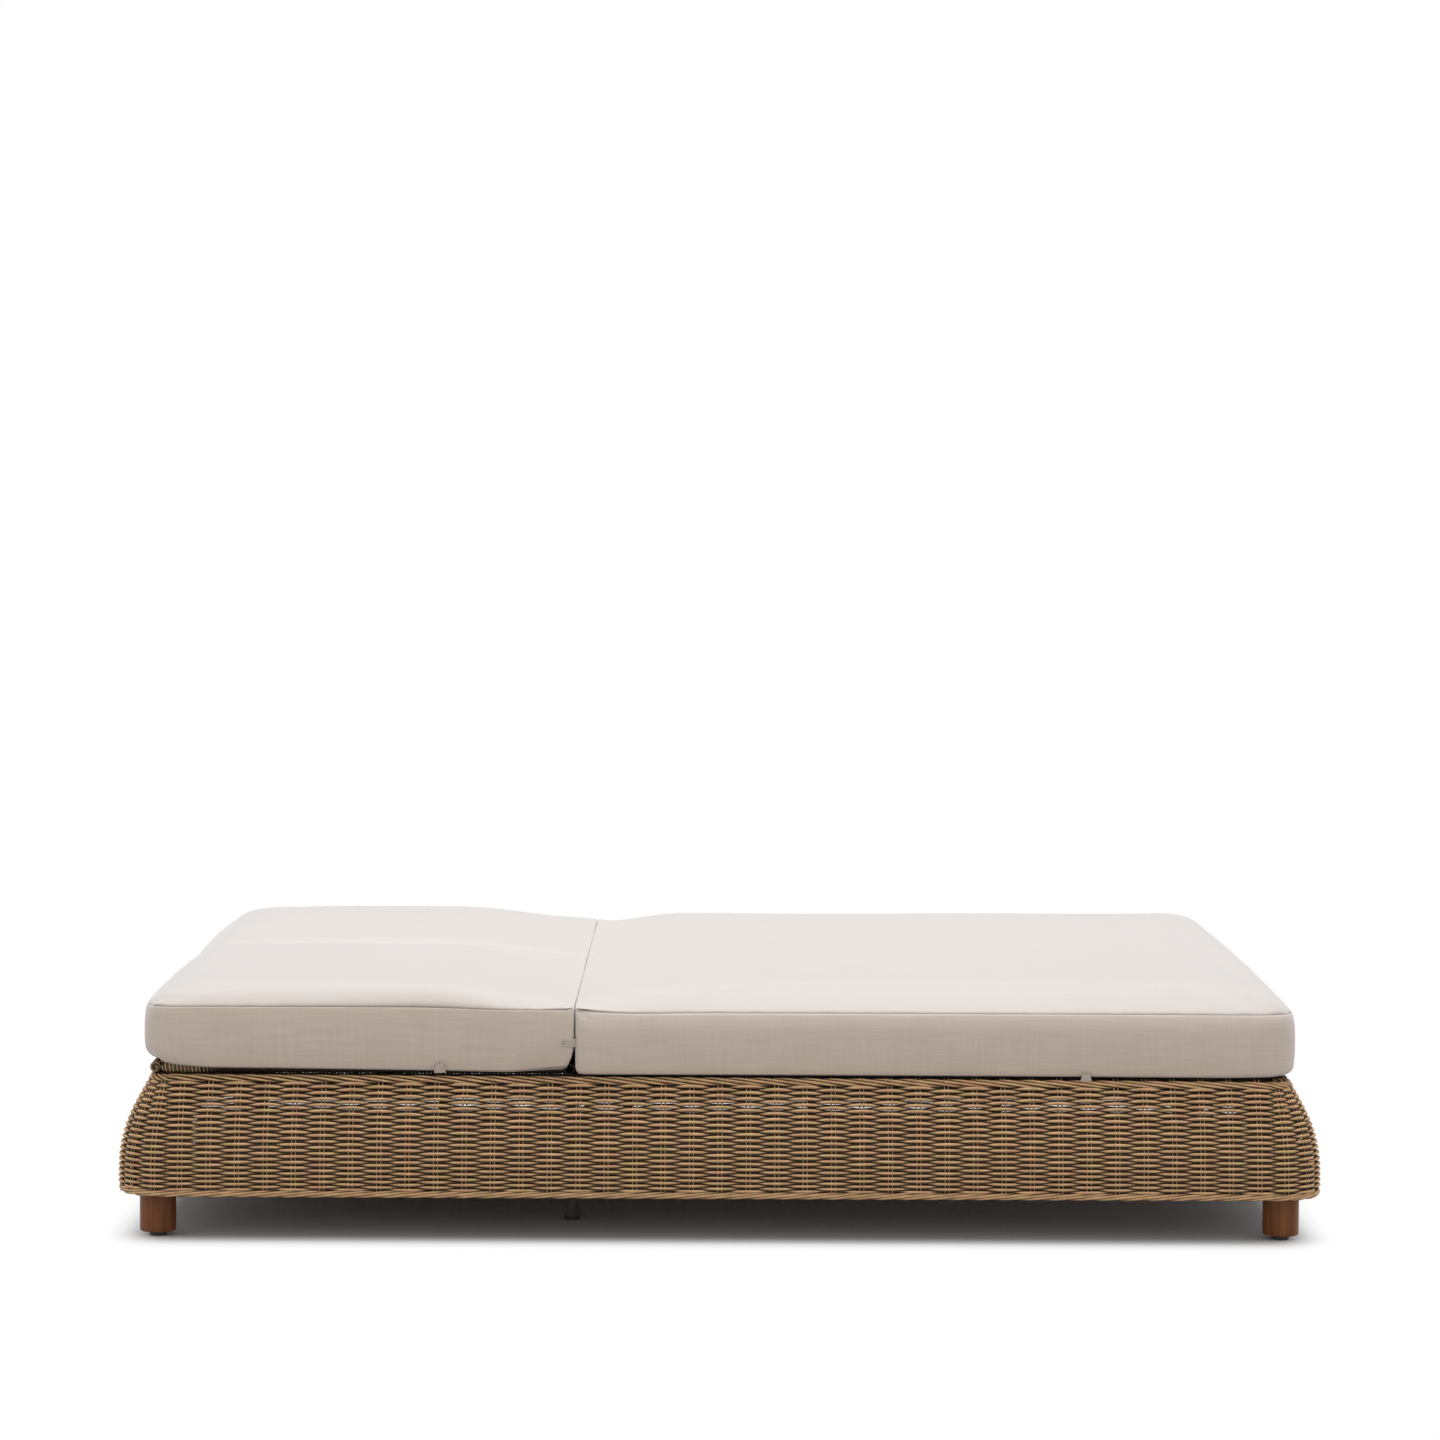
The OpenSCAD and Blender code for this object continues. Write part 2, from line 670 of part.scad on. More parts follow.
// Rise of the crown at an inset from the seam, as a share of its full height: steep, then flat
crown_power = 6;
function crown_share(inset, half) = sqrt(1 - pow(1 - min(inset, half) / half, crown_power));

// Closed cushion about its centre: underside at z = 0, top seam at side_h, slope is the rise towards -X
module cushion_form(a, b, side_h, crown, slope, radii) {
    outline = plan(a, b, radii);
    n = len(outline);
    half = min(a, b);
    rings = concat(
        [for (i = under_insets) [i, 0, 0]],
        [for (t = foot_shares) [foot_round_w * foot_share(t), foot_round_h * t, 0]],
        [for (t = side_shares) [seam_in * t[1], side_h * t[0], t[0]]],
        [for (i = crown_insets) [seam_in + i, side_h + crown * crown_share(i, half), 1]]
    );
    count = len(rings);
    body = [for (g = rings) for (p = outline)
        let (x = p[0] * (1 - g[0] / a), y = p[1] * (1 - g[0] / b))
        [x, y, g[1] + g[2] * slope * (a - x) / (2 * a)]];
    points = concat(body, [[0, 0, 0], [0, 0, side_h + crown + slope / 2]]);
    sides = [for (k = [0:count - 2], j = [0:n - 1])
        let (p = k * n + j, q = k * n + (j + 1) % n) each [[p, p + n, q + n], [p, q + n, q]]];
    low = [for (j = [0:n - 1]) [count * n, j, (j + 1) % n]];
    high = [for (j = [0:n - 1]) [count * n + 1, (count - 1) * n + (j + 1) % n, (count - 1) * n + j]];
    polyhedron(points, concat(sides, low, high));
}

seat_half_x = (cushion_x + joint_x - cushion_gap / 2) / 2;
back_half_x = (cushion_x - joint_x - cushion_gap / 2) / 2;
back_half_y = (cushion_y - cushion_gap / 2) / 2;

module seat_cushion() {
    color(fabric_colour) translate([cushion_x - seat_half_x, 0, seat_under_z])
        cushion_form(seat_half_x, cushion_y, seat_side_h, seat_crown, 0,
            [cushion_corner_r, cushion_inner_r, cushion_inner_r, cushion_corner_r]);
}

module back_cushion() {
    color(fabric_colour) translate([back_half_x - cushion_x, cushion_y - back_half_y, back_under_z])
        cushion_form(back_half_x, back_half_y, back_side_h, back_crown, back_slope,
            [cushion_inner_r, cushion_corner_r, cushion_inner_r, cushion_inner_r]);
}

// Tie tape under the drawn-in edge of a cushion: x is its place, mid and half are the cushion's along X
module tie(x, mid, half, under_z, drop) {
    bow = side_draw * sin(90 * (1 - abs(x - mid) / half));
    inset = 2 * tie_t;
    top = foot_round_h * foot_share(inset / foot_round_w) - soft_gap;
    translate([x - tie_w / 2, cushion_y - bow - inset, under_z - drop]) cube([tie_w, tie_t, top + drop]);
}

module seat_cushion_ties() {
    color(tape_colour) for (my = [0, 1]) mirror([0, my, 0])
        tie(seat_tie_x, cushion_x - seat_half_x, seat_half_x, seat_under_z, seat_tie_drop);
}

module back_cushion_tie() {
    color(tape_colour)
        tie(-back_tie_x, back_half_x - cushion_x, back_half_x, back_under_z, back_tie_drop);
}

// Gathered tapes that link the seat cushion to each back cushion, in the notch between their corners
module cushion_links() {
    color(tape_colour) for (my = [0, 1]) mirror([0, my, 0])
        translate([-joint_x - link_w / 2, cushion_y - link_in - tie_t, seat_under_z + link_up - link_h / 2])
            cube([link_w, tie_t, link_h]);
}

wicker_side_wall();  // wicker_near_wall
mirror([0, 1, 0]) wicker_side_wall();  // wicker_far_wall
mirror([1, 0, 0]) wicker_end_wall();  // wicker_head_wall
wicker_end_wall();  // wicker_foot_wall
side_top_rail();  // near_top_rail
mirror([0, 1, 0]) side_top_rail();  // far_top_rail
mirror([1, 0, 0]) end_top_rail();  // head_top_rail
end_top_rail();  // foot_top_rail
side_bottom_rail();  // near_bottom_rail
mirror([0, 1, 0]) side_bottom_rail();  // far_bottom_rail
mirror([1, 0, 0]) end_bottom_rail();  // head_bottom_rail
end_bottom_rail();  // foot_bottom_rail
bottom_corner_bends();
corner_posts();
side_uprights();
end_uprights();
hinge_beam();
rack_beams();
seat_centre_beam();
seat_slats();
at_leg(-1, -1) wooden_leg();  // near_head_leg
at_leg(1, -1) wooden_leg();  // near_foot_leg
at_leg(-1, 1) wooden_leg();  // far_head_leg
at_leg(1, 1) wooden_leg();  // far_foot_leg
leg_plates();
leg_bolts();
leg_glides();
mirror([0, 1, 0]) mid_leg();  // near_mid_leg
mid_leg();  // far_mid_leg
mid_leg_glides();
mirror([0, 1, 0]) hinge_brackets();  // near_hinge_brackets
hinge_brackets();  // far_hinge_brackets
bracket_rivets();
mirror([0, 1, 0]) stay_racks();  // near_stay_racks
stay_racks();  // far_stay_racks
seat_cushion();
seat_cushion_ties();
cushion_links();
mirror([0, 1, 0]) color(woven_colour) cross_tube(head_tube_x);  // near_back_head_tube
mirror([0, 1, 0]) color(steel_colour) cross_tube(hinge_x);  // near_back_hinge_tube
mirror([0, 1, 0]) color(woven_colour) side_tube(outer_tube_y, -1);  // near_back_outer_tube
mirror([0, 1, 0]) color(woven_colour) side_tube(inner_tube_y, 1);  // near_back_inner_tube
mirror([0, 1, 0]) back_web();  // near_back_web
mirror([0, 1, 0]) back_cushion();  // near_back_cushion
mirror([0, 1, 0]) back_cushion_tie();  // near_back_cushion_tie
color(woven_colour) cross_tube(head_tube_x);  // far_back_head_tube
color(steel_colour) cross_tube(hinge_x);  // far_back_hinge_tube
color(woven_colour) side_tube(outer_tube_y, -1);  // far_back_outer_tube
color(woven_colour) side_tube(inner_tube_y, 1);  // far_back_inner_tube
back_web();  // far_back_web
back_cushion();  // far_back_cushion
back_cushion_tie();  // far_back_cushion_tie
mirror([0, 1, 0]) stay_arms();  // near_stay_arms
mirror([0, 1, 0]) stay_foot_bar();  // near_stay_foot_bar
mirror([0, 1, 0]) stay_pins();  // near_stay_pins
stay_arms();  // far_stay_arms
stay_foot_bar();  // far_stay_foot_bar
stay_pins();  // far_stay_pins
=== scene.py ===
import json
import math

import bpy
import numpy as np
from mathutils import Matrix, Vector


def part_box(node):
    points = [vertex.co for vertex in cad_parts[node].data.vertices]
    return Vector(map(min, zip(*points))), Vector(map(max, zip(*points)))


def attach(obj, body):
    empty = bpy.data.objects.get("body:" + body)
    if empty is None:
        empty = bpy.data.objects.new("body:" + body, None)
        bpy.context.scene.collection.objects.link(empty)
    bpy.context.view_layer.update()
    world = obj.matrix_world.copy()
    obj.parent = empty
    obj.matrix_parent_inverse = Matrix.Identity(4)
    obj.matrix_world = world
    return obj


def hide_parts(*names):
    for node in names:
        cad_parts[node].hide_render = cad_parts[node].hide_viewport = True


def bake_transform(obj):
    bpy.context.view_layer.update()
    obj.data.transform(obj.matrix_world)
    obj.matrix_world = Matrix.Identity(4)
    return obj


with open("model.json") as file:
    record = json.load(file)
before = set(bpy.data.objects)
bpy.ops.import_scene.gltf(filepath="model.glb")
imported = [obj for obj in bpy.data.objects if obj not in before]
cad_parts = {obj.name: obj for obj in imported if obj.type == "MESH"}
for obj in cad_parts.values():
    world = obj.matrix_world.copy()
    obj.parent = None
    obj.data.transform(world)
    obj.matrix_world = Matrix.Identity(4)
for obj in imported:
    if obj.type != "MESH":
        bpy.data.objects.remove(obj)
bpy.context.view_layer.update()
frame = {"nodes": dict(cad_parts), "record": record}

MM = 0.001
TURN = 2 * math.pi
dice = np.random.default_rng(58)


# Putting surfaces into meshes

def grid_faces(rows, cols, wrap=False, start=0, flip=False):
    """Quads of a grid of rows by cols points, row by row; wrap joins the last column to the first."""
    i, j = np.meshgrid(np.arange(rows - 1), np.arange(cols if wrap else cols - 1), indexing="ij")
    k = (j + 1) % cols
    quads = np.stack([i * cols + j, i * cols + k, (i + 1) * cols + k, (i + 1) * cols + j], -1)
    quads = quads.reshape(-1, 4) + start
    return quads[:, ::-1] if flip else quads


def grid_map(u, v):
    """Corner by corner map of a grid's quads, from the map values u of its rows and v of its columns."""
    i, j = np.meshgrid(np.arange(len(u) - 1), np.arange(len(v) - 1), indexing="ij")
    ring = [(i, j), (i, j + 1), (i + 1, j + 1), (i + 1, j)]
    return np.stack([np.stack([u[a], v[b]], -1) for a, b in ring], 2).reshape(-1, 4, 2)


def make_piece(name, points, faces, maps, marks, material, node=None, body=None):
    """One smooth mesh piece from points in millimetres, lists of face arrays and their corner maps. Where a
    node is given, the piece stands for it and rides on a body."""
    mesh = bpy.data.meshes.new(name)
    points = np.asarray(points, float) * MM
    corners = np.concatenate([f.ravel() for f in faces])
    sizes = np.concatenate([np.full(len(f), f.shape[1]) for f in faces])
    starts = np.concatenate([[0], np.cumsum(sizes)[:-1]])
    mesh.vertices.add(len(points))
    mesh.vertices.foreach_set("co", points.astype(np.float32).ravel())
    mesh.loops.add(len(corners))
    mesh.loops.foreach_set("vertex_index", corners.astype(np.int32))
    mesh.polygons.add(len(sizes))
    mesh.polygons.foreach_set("loop_start", starts.astype(np.int32))
    mesh.update(calc_edges=True)
    mesh.polygons.foreach_set("use_smooth", np.ones(len(sizes), bool))
    corner_map = np.concatenate([m.reshape(-1, 2) for m in maps])
    layer = mesh.uv_layers.new(name="cloth")
    layer.data.foreach_set("uv", corner_map.astype(np.float32).ravel())
    for key, values in marks.items():
        mark = mesh.attributes.new(key, "FLOAT", "POINT")
        mark.data.foreach_set("value", np.asarray(values, np.float32).ravel())
    mesh.materials.append(material)
    piece = bpy.data.objects.new(name, mesh)
    bpy.context.scene.collection.objects.link(piece)
    if node:
        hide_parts(node)
        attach(piece, body)
    return piece


class Bundle:
    """Gathers strands into one piece: points, faces, maps and marks grow together."""

    def __init__(self):
        self.points, self.faces, self.maps = [], [], []
        # Marks: strand, a random number for each strand's tone, and deep, how much painted shade the cane
        # material puts on each place.
        self.marks = {"strand": [], "deep": []}
        self.count = 0

    def add_tubes(self, centre, side_a, side_b, half_a, half_b, along, strand, deep, sides=7):
        """Tubes along many paths at once. Each ring is centre + side_a half_a cos + side_b half_b sin.
        centre is (tubes, steps, 3); what is given in a smaller shape is the same along or for all."""
        tubes, steps = centre.shape[:2]
        side_a, side_b = (np.broadcast_to(side, centre.shape) for side in (side_a, side_b))
        half_a, half_b, along, deep = (np.broadcast_to(value, (tubes, steps))
                                       for value in (half_a, half_b, along, deep))
        angle = TURN * np.arange(sides) / sides
        ring_a = half_a[..., None, None] * np.cos(angle)[:, None] * side_a[:, :, None, :]
        ring_b = half_b[..., None, None] * np.sin(angle)[:, None] * side_b[:, :, None, :]
        points = centre[:, :, None, :] + ring_a + ring_b
        ahead = np.gradient(centre, axis=1)
        flip = float(np.sum(np.cross(side_a, side_b) * ahead)) < 0
        one = grid_faces(steps, sides, wrap=True, flip=flip)
        size = steps * sides
        start = self.count + size * np.arange(tubes)
        self.faces.append((one[None] + start[:, None, None]).reshape(-1, 4))
        around = np.arange(sides + 1) / sides
        turned = -1 if flip else 1
        self.maps += [grid_map(one_along, around)[:, ::turned] for one_along in along]
        ends = np.stack([np.arange(sides)[::-1], np.arange(sides) + size - sides])[:, ::turned]
        self.faces.append((ends[None] + start[:, None, None]).reshape(-1, sides))
        self.maps.append(np.zeros((2 * tubes, sides, 2)))
        self.points.append(points.reshape(-1, 3))
        whole = np.ones((tubes, steps, sides))
        self.marks["strand"].append((strand[:, None, None] * whole).ravel())
        self.marks["deep"].append((deep[:, :, None] * whole).ravel())
        self.count += tubes * size

    def finish(self, name, material, node, body):
        marks = {key: np.concatenate(v) for key, v in self.marks.items()}
        points = np.concatenate(self.points)
        make_piece(name, points, self.faces, self.maps, marks, material, node, body)


# Materials

class Net:
    """A tree of nodes, with short ways to put them in and to link them."""

    def __init__(self, tree):
        self.tree = tree

    def fill(self, node, values):
        """Sets a node's inputs: a socket is linked, and anything else is a constant."""
        for key, value in values.items():
            socket = node.inputs[key]
            if isinstance(value, bpy.types.NodeSocket):
                self.tree.links.new(value, socket)
            else:
                socket.default_value = (*value, 1.0) if socket.type == "RGBA" else value

    def add(self, kind, values=None, **settings):
        node = self.tree.nodes.new("ShaderNode" + kind)
        for key, value in settings.items():
            setattr(node, key, value)
        self.fill(node, values or {})
        return node

    def maths(self, operation, a, b=0.0, clamp=False):
        """One operation on two values."""
        return self.add("Math", {0: a, 1: b}, operation=operation, use_clamp=clamp).outputs[0]

    def times(self, first, *others):
        for other in others:
            first = self.maths("MULTIPLY", first, other)
        return first

    def plus(self, a, b, clamp=False):
        return self.maths("ADD", a, b, clamp)

    def mix(self, share, a, b, blend="MIX"):
        node = self.add("Mix", data_type="RGBA", blend_type=blend)
        self.fill(node, {0: share, 6: a, 7: b})
        return node.outputs[2]

    def spread(self, value, low, high, to_low=0.0, to_high=1.0):
        """The span from low to high laid out on another one, and held at its ends."""
        values = {"Value": value, "From Min": low, "From Max": high, "To Min": to_low, "To Max": to_high}
        return self.add("MapRange", values, clamp=True).outputs[0]

    def noise(self, place, scale, detail=2.0, rough=0.5):
        values = {"Vector": place, "Scale": scale, "Detail": detail, "Roughness": rough}
        return self.add("TexNoise", values).outputs[0]

    def vector(self, x, y, z=0.0):
        return self.add("CombineXYZ", {0: x, 1: y, 2: z}).outputs[0]

    def split(self, vector):
        return self.add("SeparateXYZ", {0: vector}).outputs

    def stretched(self, place, scale, shift=(0.0, 0.0, 0.0)):
        return self.add("Mapping", {"Vector": place, "Scale": scale, "Location": shift}).outputs[0]

    def grey(self, level):
        return self.add("CombineColor", {0: level, 1: level, 2: level}).outputs[0]

    def flow(self):
        """Place on the piece's own map, which follows its strands or its cloth."""
        return self.add("UVMap", uv_map="cloth").outputs[0]

    def on_piece(self):
        """Place in the lounger's own frame."""
        return self.add("TexCoord").outputs["Object"]

    def mark(self, name):
        """A value that the piece's points carry."""
        return self.add("Attribute", attribute_name=name).outputs["Fac"]


class Effect(Net):
    """A shared group of nodes: named colours and numbers go in, colour, relief and roughness come out."""

    def __init__(self, name, colours, numbers):
        super().__init__(bpy.data.node_groups.new(name, "ShaderNodeTree"))
        for label in colours:
            self.socket(label, "INPUT", "Color")
        for label, value in numbers.items():
            self.socket(label, "INPUT", "Float").default_value = value
        self.given = self.tree.nodes.new("NodeGroupInput").outputs

    def socket(self, label, way, kind):
        return self.tree.interface.new_socket(label, in_out=way, socket_type="NodeSocket" + kind)

    def put_out(self, **results):
        for label in results:
            self.socket(label, "OUTPUT", "Color" if label == "Color" else "Float")
        self.fill(self.tree.nodes.new("NodeGroupOutput"), results)
        return self.tree


DRIFT_LONG, DRIFT_APART, DRIFT_SCALE, TONE_SCALE = 14.0, 37.0, 2.2, 3.1
STREAK_LONG, STREAK_ROUND, STREAK_APART, STREAK_SCALE = 60.0, 9.0, 91.0, 1.6


def cane_effect():
    """Colour and relief of one woven strand: drifts of tone, fine streaks, and painted shade: dark below and
    where it dives in. Where it starts to dive, the painted shade comes in from both edges, so that only a
    thin line stays light."""
    net = Effect("cane_strand", ("Light", "Warm", "Green"), {"Dive": 0.6, "UnderShade": 0.5, "EdgeShade": 0.7})
    given = net.given
    along, around, _ = net.split(net.flow())
    own, deep = net.mark("strand"), net.mark("deep")
    drift_place = net.vector(net.times(along, DRIFT_LONG), net.times(own, DRIFT_APART))
    drift = net.noise(drift_place, DRIFT_SCALE)
    tone = net.noise(drift_place, TONE_SCALE, 1.0)
    streak_place = net.vector(net.times(along, STREAK_LONG), net.times(around, STREAK_ROUND),
                              net.times(own, STREAK_APART))
    streak = net.noise(streak_place, STREAK_SCALE, 3.0, 0.6)
    colour = net.mix(net.spread(drift, 0.50, 0.68), given["Light"], given["Warm"])
    colour = net.mix(net.spread(drift, 0.48, 0.32), colour, given["Green"])
    level = net.times(net.spread(tone, 0.3, 0.7, 0.80, 1.14), net.spread(streak, 0.3, 0.7, 0.84, 1.1))
    # Painted shade: darker where the strand lies deep, from both edges where it starts to dive, and on its
    # underside, away from the light above.
    climb = net.maths("SINE", net.times(around, TURN))
    lit_half = net.spread(deep, 0.0, 0.5, 0.75, 0.1)
    from_edge = net.maths("SUBTRACT", net.maths("ABSOLUTE", climb), lit_half)
    sunk = net.times(net.spread(deep, 0.35, 0.9), given["Dive"])
    edge = net.times(net.spread(from_edge, 0.0, 0.5), given["EdgeShade"])
    below = net.times(net.spread(climb, 0.25, -0.85), given["UnderShade"])
    for dark in (sunk, edge, below):
        level = net.times(level, net.maths("SUBTRACT", 1.0, dark))
    return net.put_out(Color=net.mix(1.0, colour, net.grey(level), "MULTIPLY"), Height=streak,
                       Rough=net.spread(streak, 0.3, 0.7, 0.62, 0.5))


THREAD_LONG, THREAD_THIN, UPRIGHT_SHARE = 24.0, 520.0, 0.5
# Colour of the darkened seam: on the cushions, painted shade in the seam's groove and under the foot's
# bottom edge.
SEAM_DARK = (0.09, 0.055, 0.035)


def cloth_effect():
    """Plain weave of a fabric: crossing threads with thick and thin places, as relief and as a darker thread
    tone. The threads that run level show more than the upright ones. Where the top mark is, the colour goes
    over to the paler top colour and the thread tone is halved: painted light on the top panel. Along the
    seam mark the colour goes dark: on the cushions, painted shade in the seam's groove and under the foot's
    bottom edge."""
    net = Effect("plain_weave", ("Color", "Shadow", "LitTop"),
                 {"Threads": 700.0, "Slub": 0.5, "SeamDark": 0.5})
    given = net.given
    flow = net.flow()
    turns = net.times(given["Threads"], TURN)
    warp, weft = (net.maths("SINE", net.times(part, turns)) for part in net.split(flow)[:2])
    cross = net.times(warp, weft)
    level, upright = (
        net.noise(net.add("VectorMath", {0: flow, 1: size}, operation="MULTIPLY").outputs[0], 0.5)
        for size in ((THREAD_LONG, THREAD_THIN, 1.0), (THREAD_THIN, THREAD_LONG, 1.0)))
    slub = net.plus(level, net.times(upright, UPRIGHT_SHARE))
    cloudy = net.noise(flow, 9.0, 3.0)
    shade = net.times(net.maths("SUBTRACT", 1.0, net.spread(slub, 0.56, 0.98)), given["Slub"])
    shade = net.plus(shade, net.times(net.spread(cross, -1.0, 1.0), 0.12))
    shade = net.plus(shade, net.spread(cloudy, 0.35, 0.65, -0.05, 0.05), clamp=True)
    # Painted light: the top mark takes the colour over to the paler top colour and halves the thread tone.
    top = net.mark("top")
    shade = net.times(shade, net.spread(top, 0.0, 1.0, 1.0, 0.5))
    colour = net.mix(shade, net.mix(top, given["Color"], given["LitTop"]), given["Shadow"])
    # Painted shade along the seam mark.
    seam_darkening = net.times(net.spread(net.mark("seam"), 0.42, 0.85), given["SeamDark"])
    return net.put_out(Color=net.mix(seam_darkening, colour, SEAM_DARK),
                       Height=net.plus(net.times(cross, 0.5), net.times(slub, 0.8)))


def coat_effect():
    """Painted or plated metal, or rubber: fine skin, slow cloudiness, dust in patches and rubbed places."""
    net = Effect("metal_skin", ("Color", "Worn", "Dust"), {"Wear": 0.3, "Grit": 900.0})
    place = net.on_piece()
    cloud = net.noise(place, 16.0, 3.0)
    rub = net.noise(place, 60.0, 5.0, 0.7)
    rubbed = net.times(net.spread(rub, 0.62, 0.74), net.given["Wear"])
    dusty = net.times(net.spread(cloud, 0.4, 0.75), 0.22)
    colour = net.mix(rubbed, net.given["Color"], net.given["Worn"])
    return net.put_out(Color=net.mix(dusty, colour, net.given["Dust"]),
                       Height=net.noise(place, net.given["Grit"], 1.0),
                       Rough=net.spread(cloud, 0.3, 0.7, 0.36, 0.56))


def grain_effect():
    """Wood with its grain along Z: rings stretched along the length, and pores."""
    net = Effect("wood_grain", ("Light", "Dark"), {"Rings": 90.0})
    place = net.on_piece()
    long_place = net.stretched(place, (1.0, 1.0, 0.07), (0.013, 0.007, 0.0))
    bend = net.noise(long_place, 22.0)
    bent = net.mix(0.06, long_place, net.vector(bend, bend, bend))
    rings = net.noise(bent, net.given["Rings"], 4.0, 0.55)
    pores = net.noise(net.stretched(place, (1.0, 1.0, 0.03)), 900.0, 2.0, 0.6)
    pore = net.spread(pores, 0.58, 0.7, 0.0, 0.5)
    colour = net.mix(net.spread(rings, 0.34, 0.66), net.given["Light"], net.given["Dark"])
    return net.put_out(Color=net.mix(pore, colour, net.given["Dark"]),
                       Height=net.maths("SUBTRACT", rings, pore),
                       Rough=net.spread(rings, 0.3, 0.7, 0.42, 0.56))


def finish_of(name, effect, values, relief, relief_depth, **fixed):
    """A material whose colour, roughness and relief come from an effect; fixed values sit on the shader."""
    material = bpy.data.materials.new(name)
    material.use_nodes = True
    net = Net(material.node_tree)
    skin = net.add("Group", node_tree=effect)
    net.fill(skin, values)
    bump = net.add("Bump", {"Strength": relief, "Distance": relief_depth, "Height": skin.outputs["Height"]})
    on_shader = {"Base Color": skin.outputs["Color"], "Normal": bump.outputs[0]}
    if "Rough" in skin.outputs:
        on_shader["Roughness"] = skin.outputs["Rough"]
    on_shader.update({key.replace("_", " "): value for key, value in fixed.items()})
    net.fill(material.node_tree.nodes["Principled BSDF"], on_shader)
    return material


cane, cloth, coat, grain = cane_effect(), cloth_effect(), coat_effect(), grain_effect()

# The last three values set the painted shade on the strands: where they lie deep, at their edges and on
# their undersides.
wicker = finish_of(
    "woven_cane", cane, dict(Light=(0.87, 0.535, 0.28), Warm=(0.84, 0.46, 0.245), Green=(0.80, 0.55, 0.225),
                             Dive=0.88, UnderShade=0.5, EdgeShade=0.8),
    0.35, 0.0004, Specular_IOR_Level=0.3)
wrap_cane = finish_of(
    "wrapped_cane", cane, dict(Light=(0.62, 0.42, 0.24), Warm=(0.52, 0.31, 0.17), Green=(0.52, 0.38, 0.17),
                               Dive=0.93, UnderShade=0.2, EdgeShade=0.5),
    0.35, 0.0003, Specular_IOR_Level=0.3)
# The pale top colour is painted light on the top panels; the seam darkening is painted shade.
cushion_cloth = finish_of(
    "cushion_cloth", cloth, dict(Color=(0.795, 0.673, 0.568), Shadow=(0.59, 0.47, 0.37),
                                 LitTop=(0.745, 0.675, 0.63), Threads=620.0, Slub=0.34, SeamDark=0.66),
    0.3, 0.0004, Roughness=0.86, Specular_IOR_Level=0.25, Sheen_Weight=1.0, Sheen_Roughness=0.55)
tape_cloth = finish_of(
    "tie_tape", cloth, dict(Color=(0.66, 0.58, 0.50), Shadow=(0.5, 0.43, 0.36), LitTop=(0.6, 0.55, 0.5),
                            Threads=900.0, Slub=0.4, SeamDark=0.8),
    0.4, 0.0004, Roughness=0.8, Specular_IOR_Level=0.25, Sheen_Weight=0.2)
dark_steel = finish_of(
    "dark_coat", coat, dict(Color=(0.08, 0.07, 0.062), Worn=(0.16, 0.14, 0.12), Dust=(0.2, 0.17, 0.14),
                            Wear=0.5),
    0.25, 0.0002, Specular_IOR_Level=0.45)
zinc = finish_of(
    "zinc_plate", coat, dict(Color=(0.56, 0.57, 0.56), Worn=(0.3, 0.29, 0.27), Dust=(0.4, 0.37, 0.32),
                             Wear=0.6, Grit=500.0),
    0.2, 0.0002, Metallic=1.0)
black_coat = finish_of(
    "black_coat", coat, dict(Color=(0.012, 0.010, 0.009), Worn=(0.03, 0.026, 0.023),
                             Dust=(0.045, 0.04, 0.034), Wear=0.4),
    0.2, 0.0002, Specular_IOR_Level=0.1)
glide_rubber = finish_of(
    "glide_rubber", coat, dict(Color=(0.02, 0.017, 0.015), Worn=(0.06, 0.055, 0.05), Dust=(0.2, 0.17, 0.14),
                               Wear=0.4, Grit=1500.0),
    0.3, 0.0002)
leg_wood = finish_of("leg_wood", grain, dict(Light=(0.26, 0.087, 0.021), Dark=(0.14, 0.042, 0.009)),
                     0.3, 0.0003, Specular_IOR_Level=0.3)

SLOT_FINISHES = {"frame": dark_steel, "fittings": zinc, "glide": glide_rubber, "leg_wood": leg_wood,
                 "wicker": wicker, "cushion_fabric": cushion_cloth, "tape": tape_cloth}
NODE_FINISHES = {"near_hinge_brackets": dark_steel, "far_hinge_brackets": dark_steel,
                 "bracket_rivets": dark_steel, "near_back_hinge_tube": black_coat,
                 "far_back_hinge_tube": black_coat}
for subpart in frame["record"]["subparts"]:
    node_finish = NODE_FINISHES.get(subpart["node"], SLOT_FINISHES[subpart["material_slot"]])
    node_object = frame["nodes"][subpart["node"]]
    if not node_object.material_slots:
        node_object.data.materials.append(node_finish)
    for held in node_object.material_slots:
        held.material = node_finish


# Woven base. The skin's section, walked from its bottom edge to its rim and over the rail

HALF_X, HALF_Y, CORNER_R = 1000.0, 750.0, 88.0
CORNER_X, CORNER_Y = HALF_X - CORNER_R, HALF_Y - CORNER_R
SKIN_BOTTOM, RIM_Z = 73.0, 269.0
LEAN = math.radians(29.0)
FLARE, FLARE_Z = 54.0, 113.0
FLARE_TAN, FLARE_SIN, FLARE_COS = math.tan(LEAN), math.sin(LEAN), math.cos(LEAN)
FLARE_R = ((RIM_Z - FLARE_Z) * FLARE_TAN - FLARE) / (FLARE_TAN * FLARE_SIN - (1 - FLARE_COS))
ARC_TOP = FLARE_Z + FLARE_R * FLARE_SIN
MID_DEPTH, RIM_DEPTH, RIM_ROUND, CAP_RUN = 6.3, 3.4, 4.5, 24.0
SKIN_POINTS, BEND_POINTS, RUN_POINTS = 160, 14, 12


def skin_inset(z):
    """How far the skin lies inside the widest outline: nothing, then an arc, then a straight lean."""
    arc = FLARE_R - np.sqrt(np.maximum(FLARE_R ** 2 - (z - FLARE_Z) ** 2, 0))
    return np.where(z <= FLARE_Z, 0, np.where(z <= ARC_TOP, arc, FLARE - (RIM_Z - z) * FLARE_TAN))


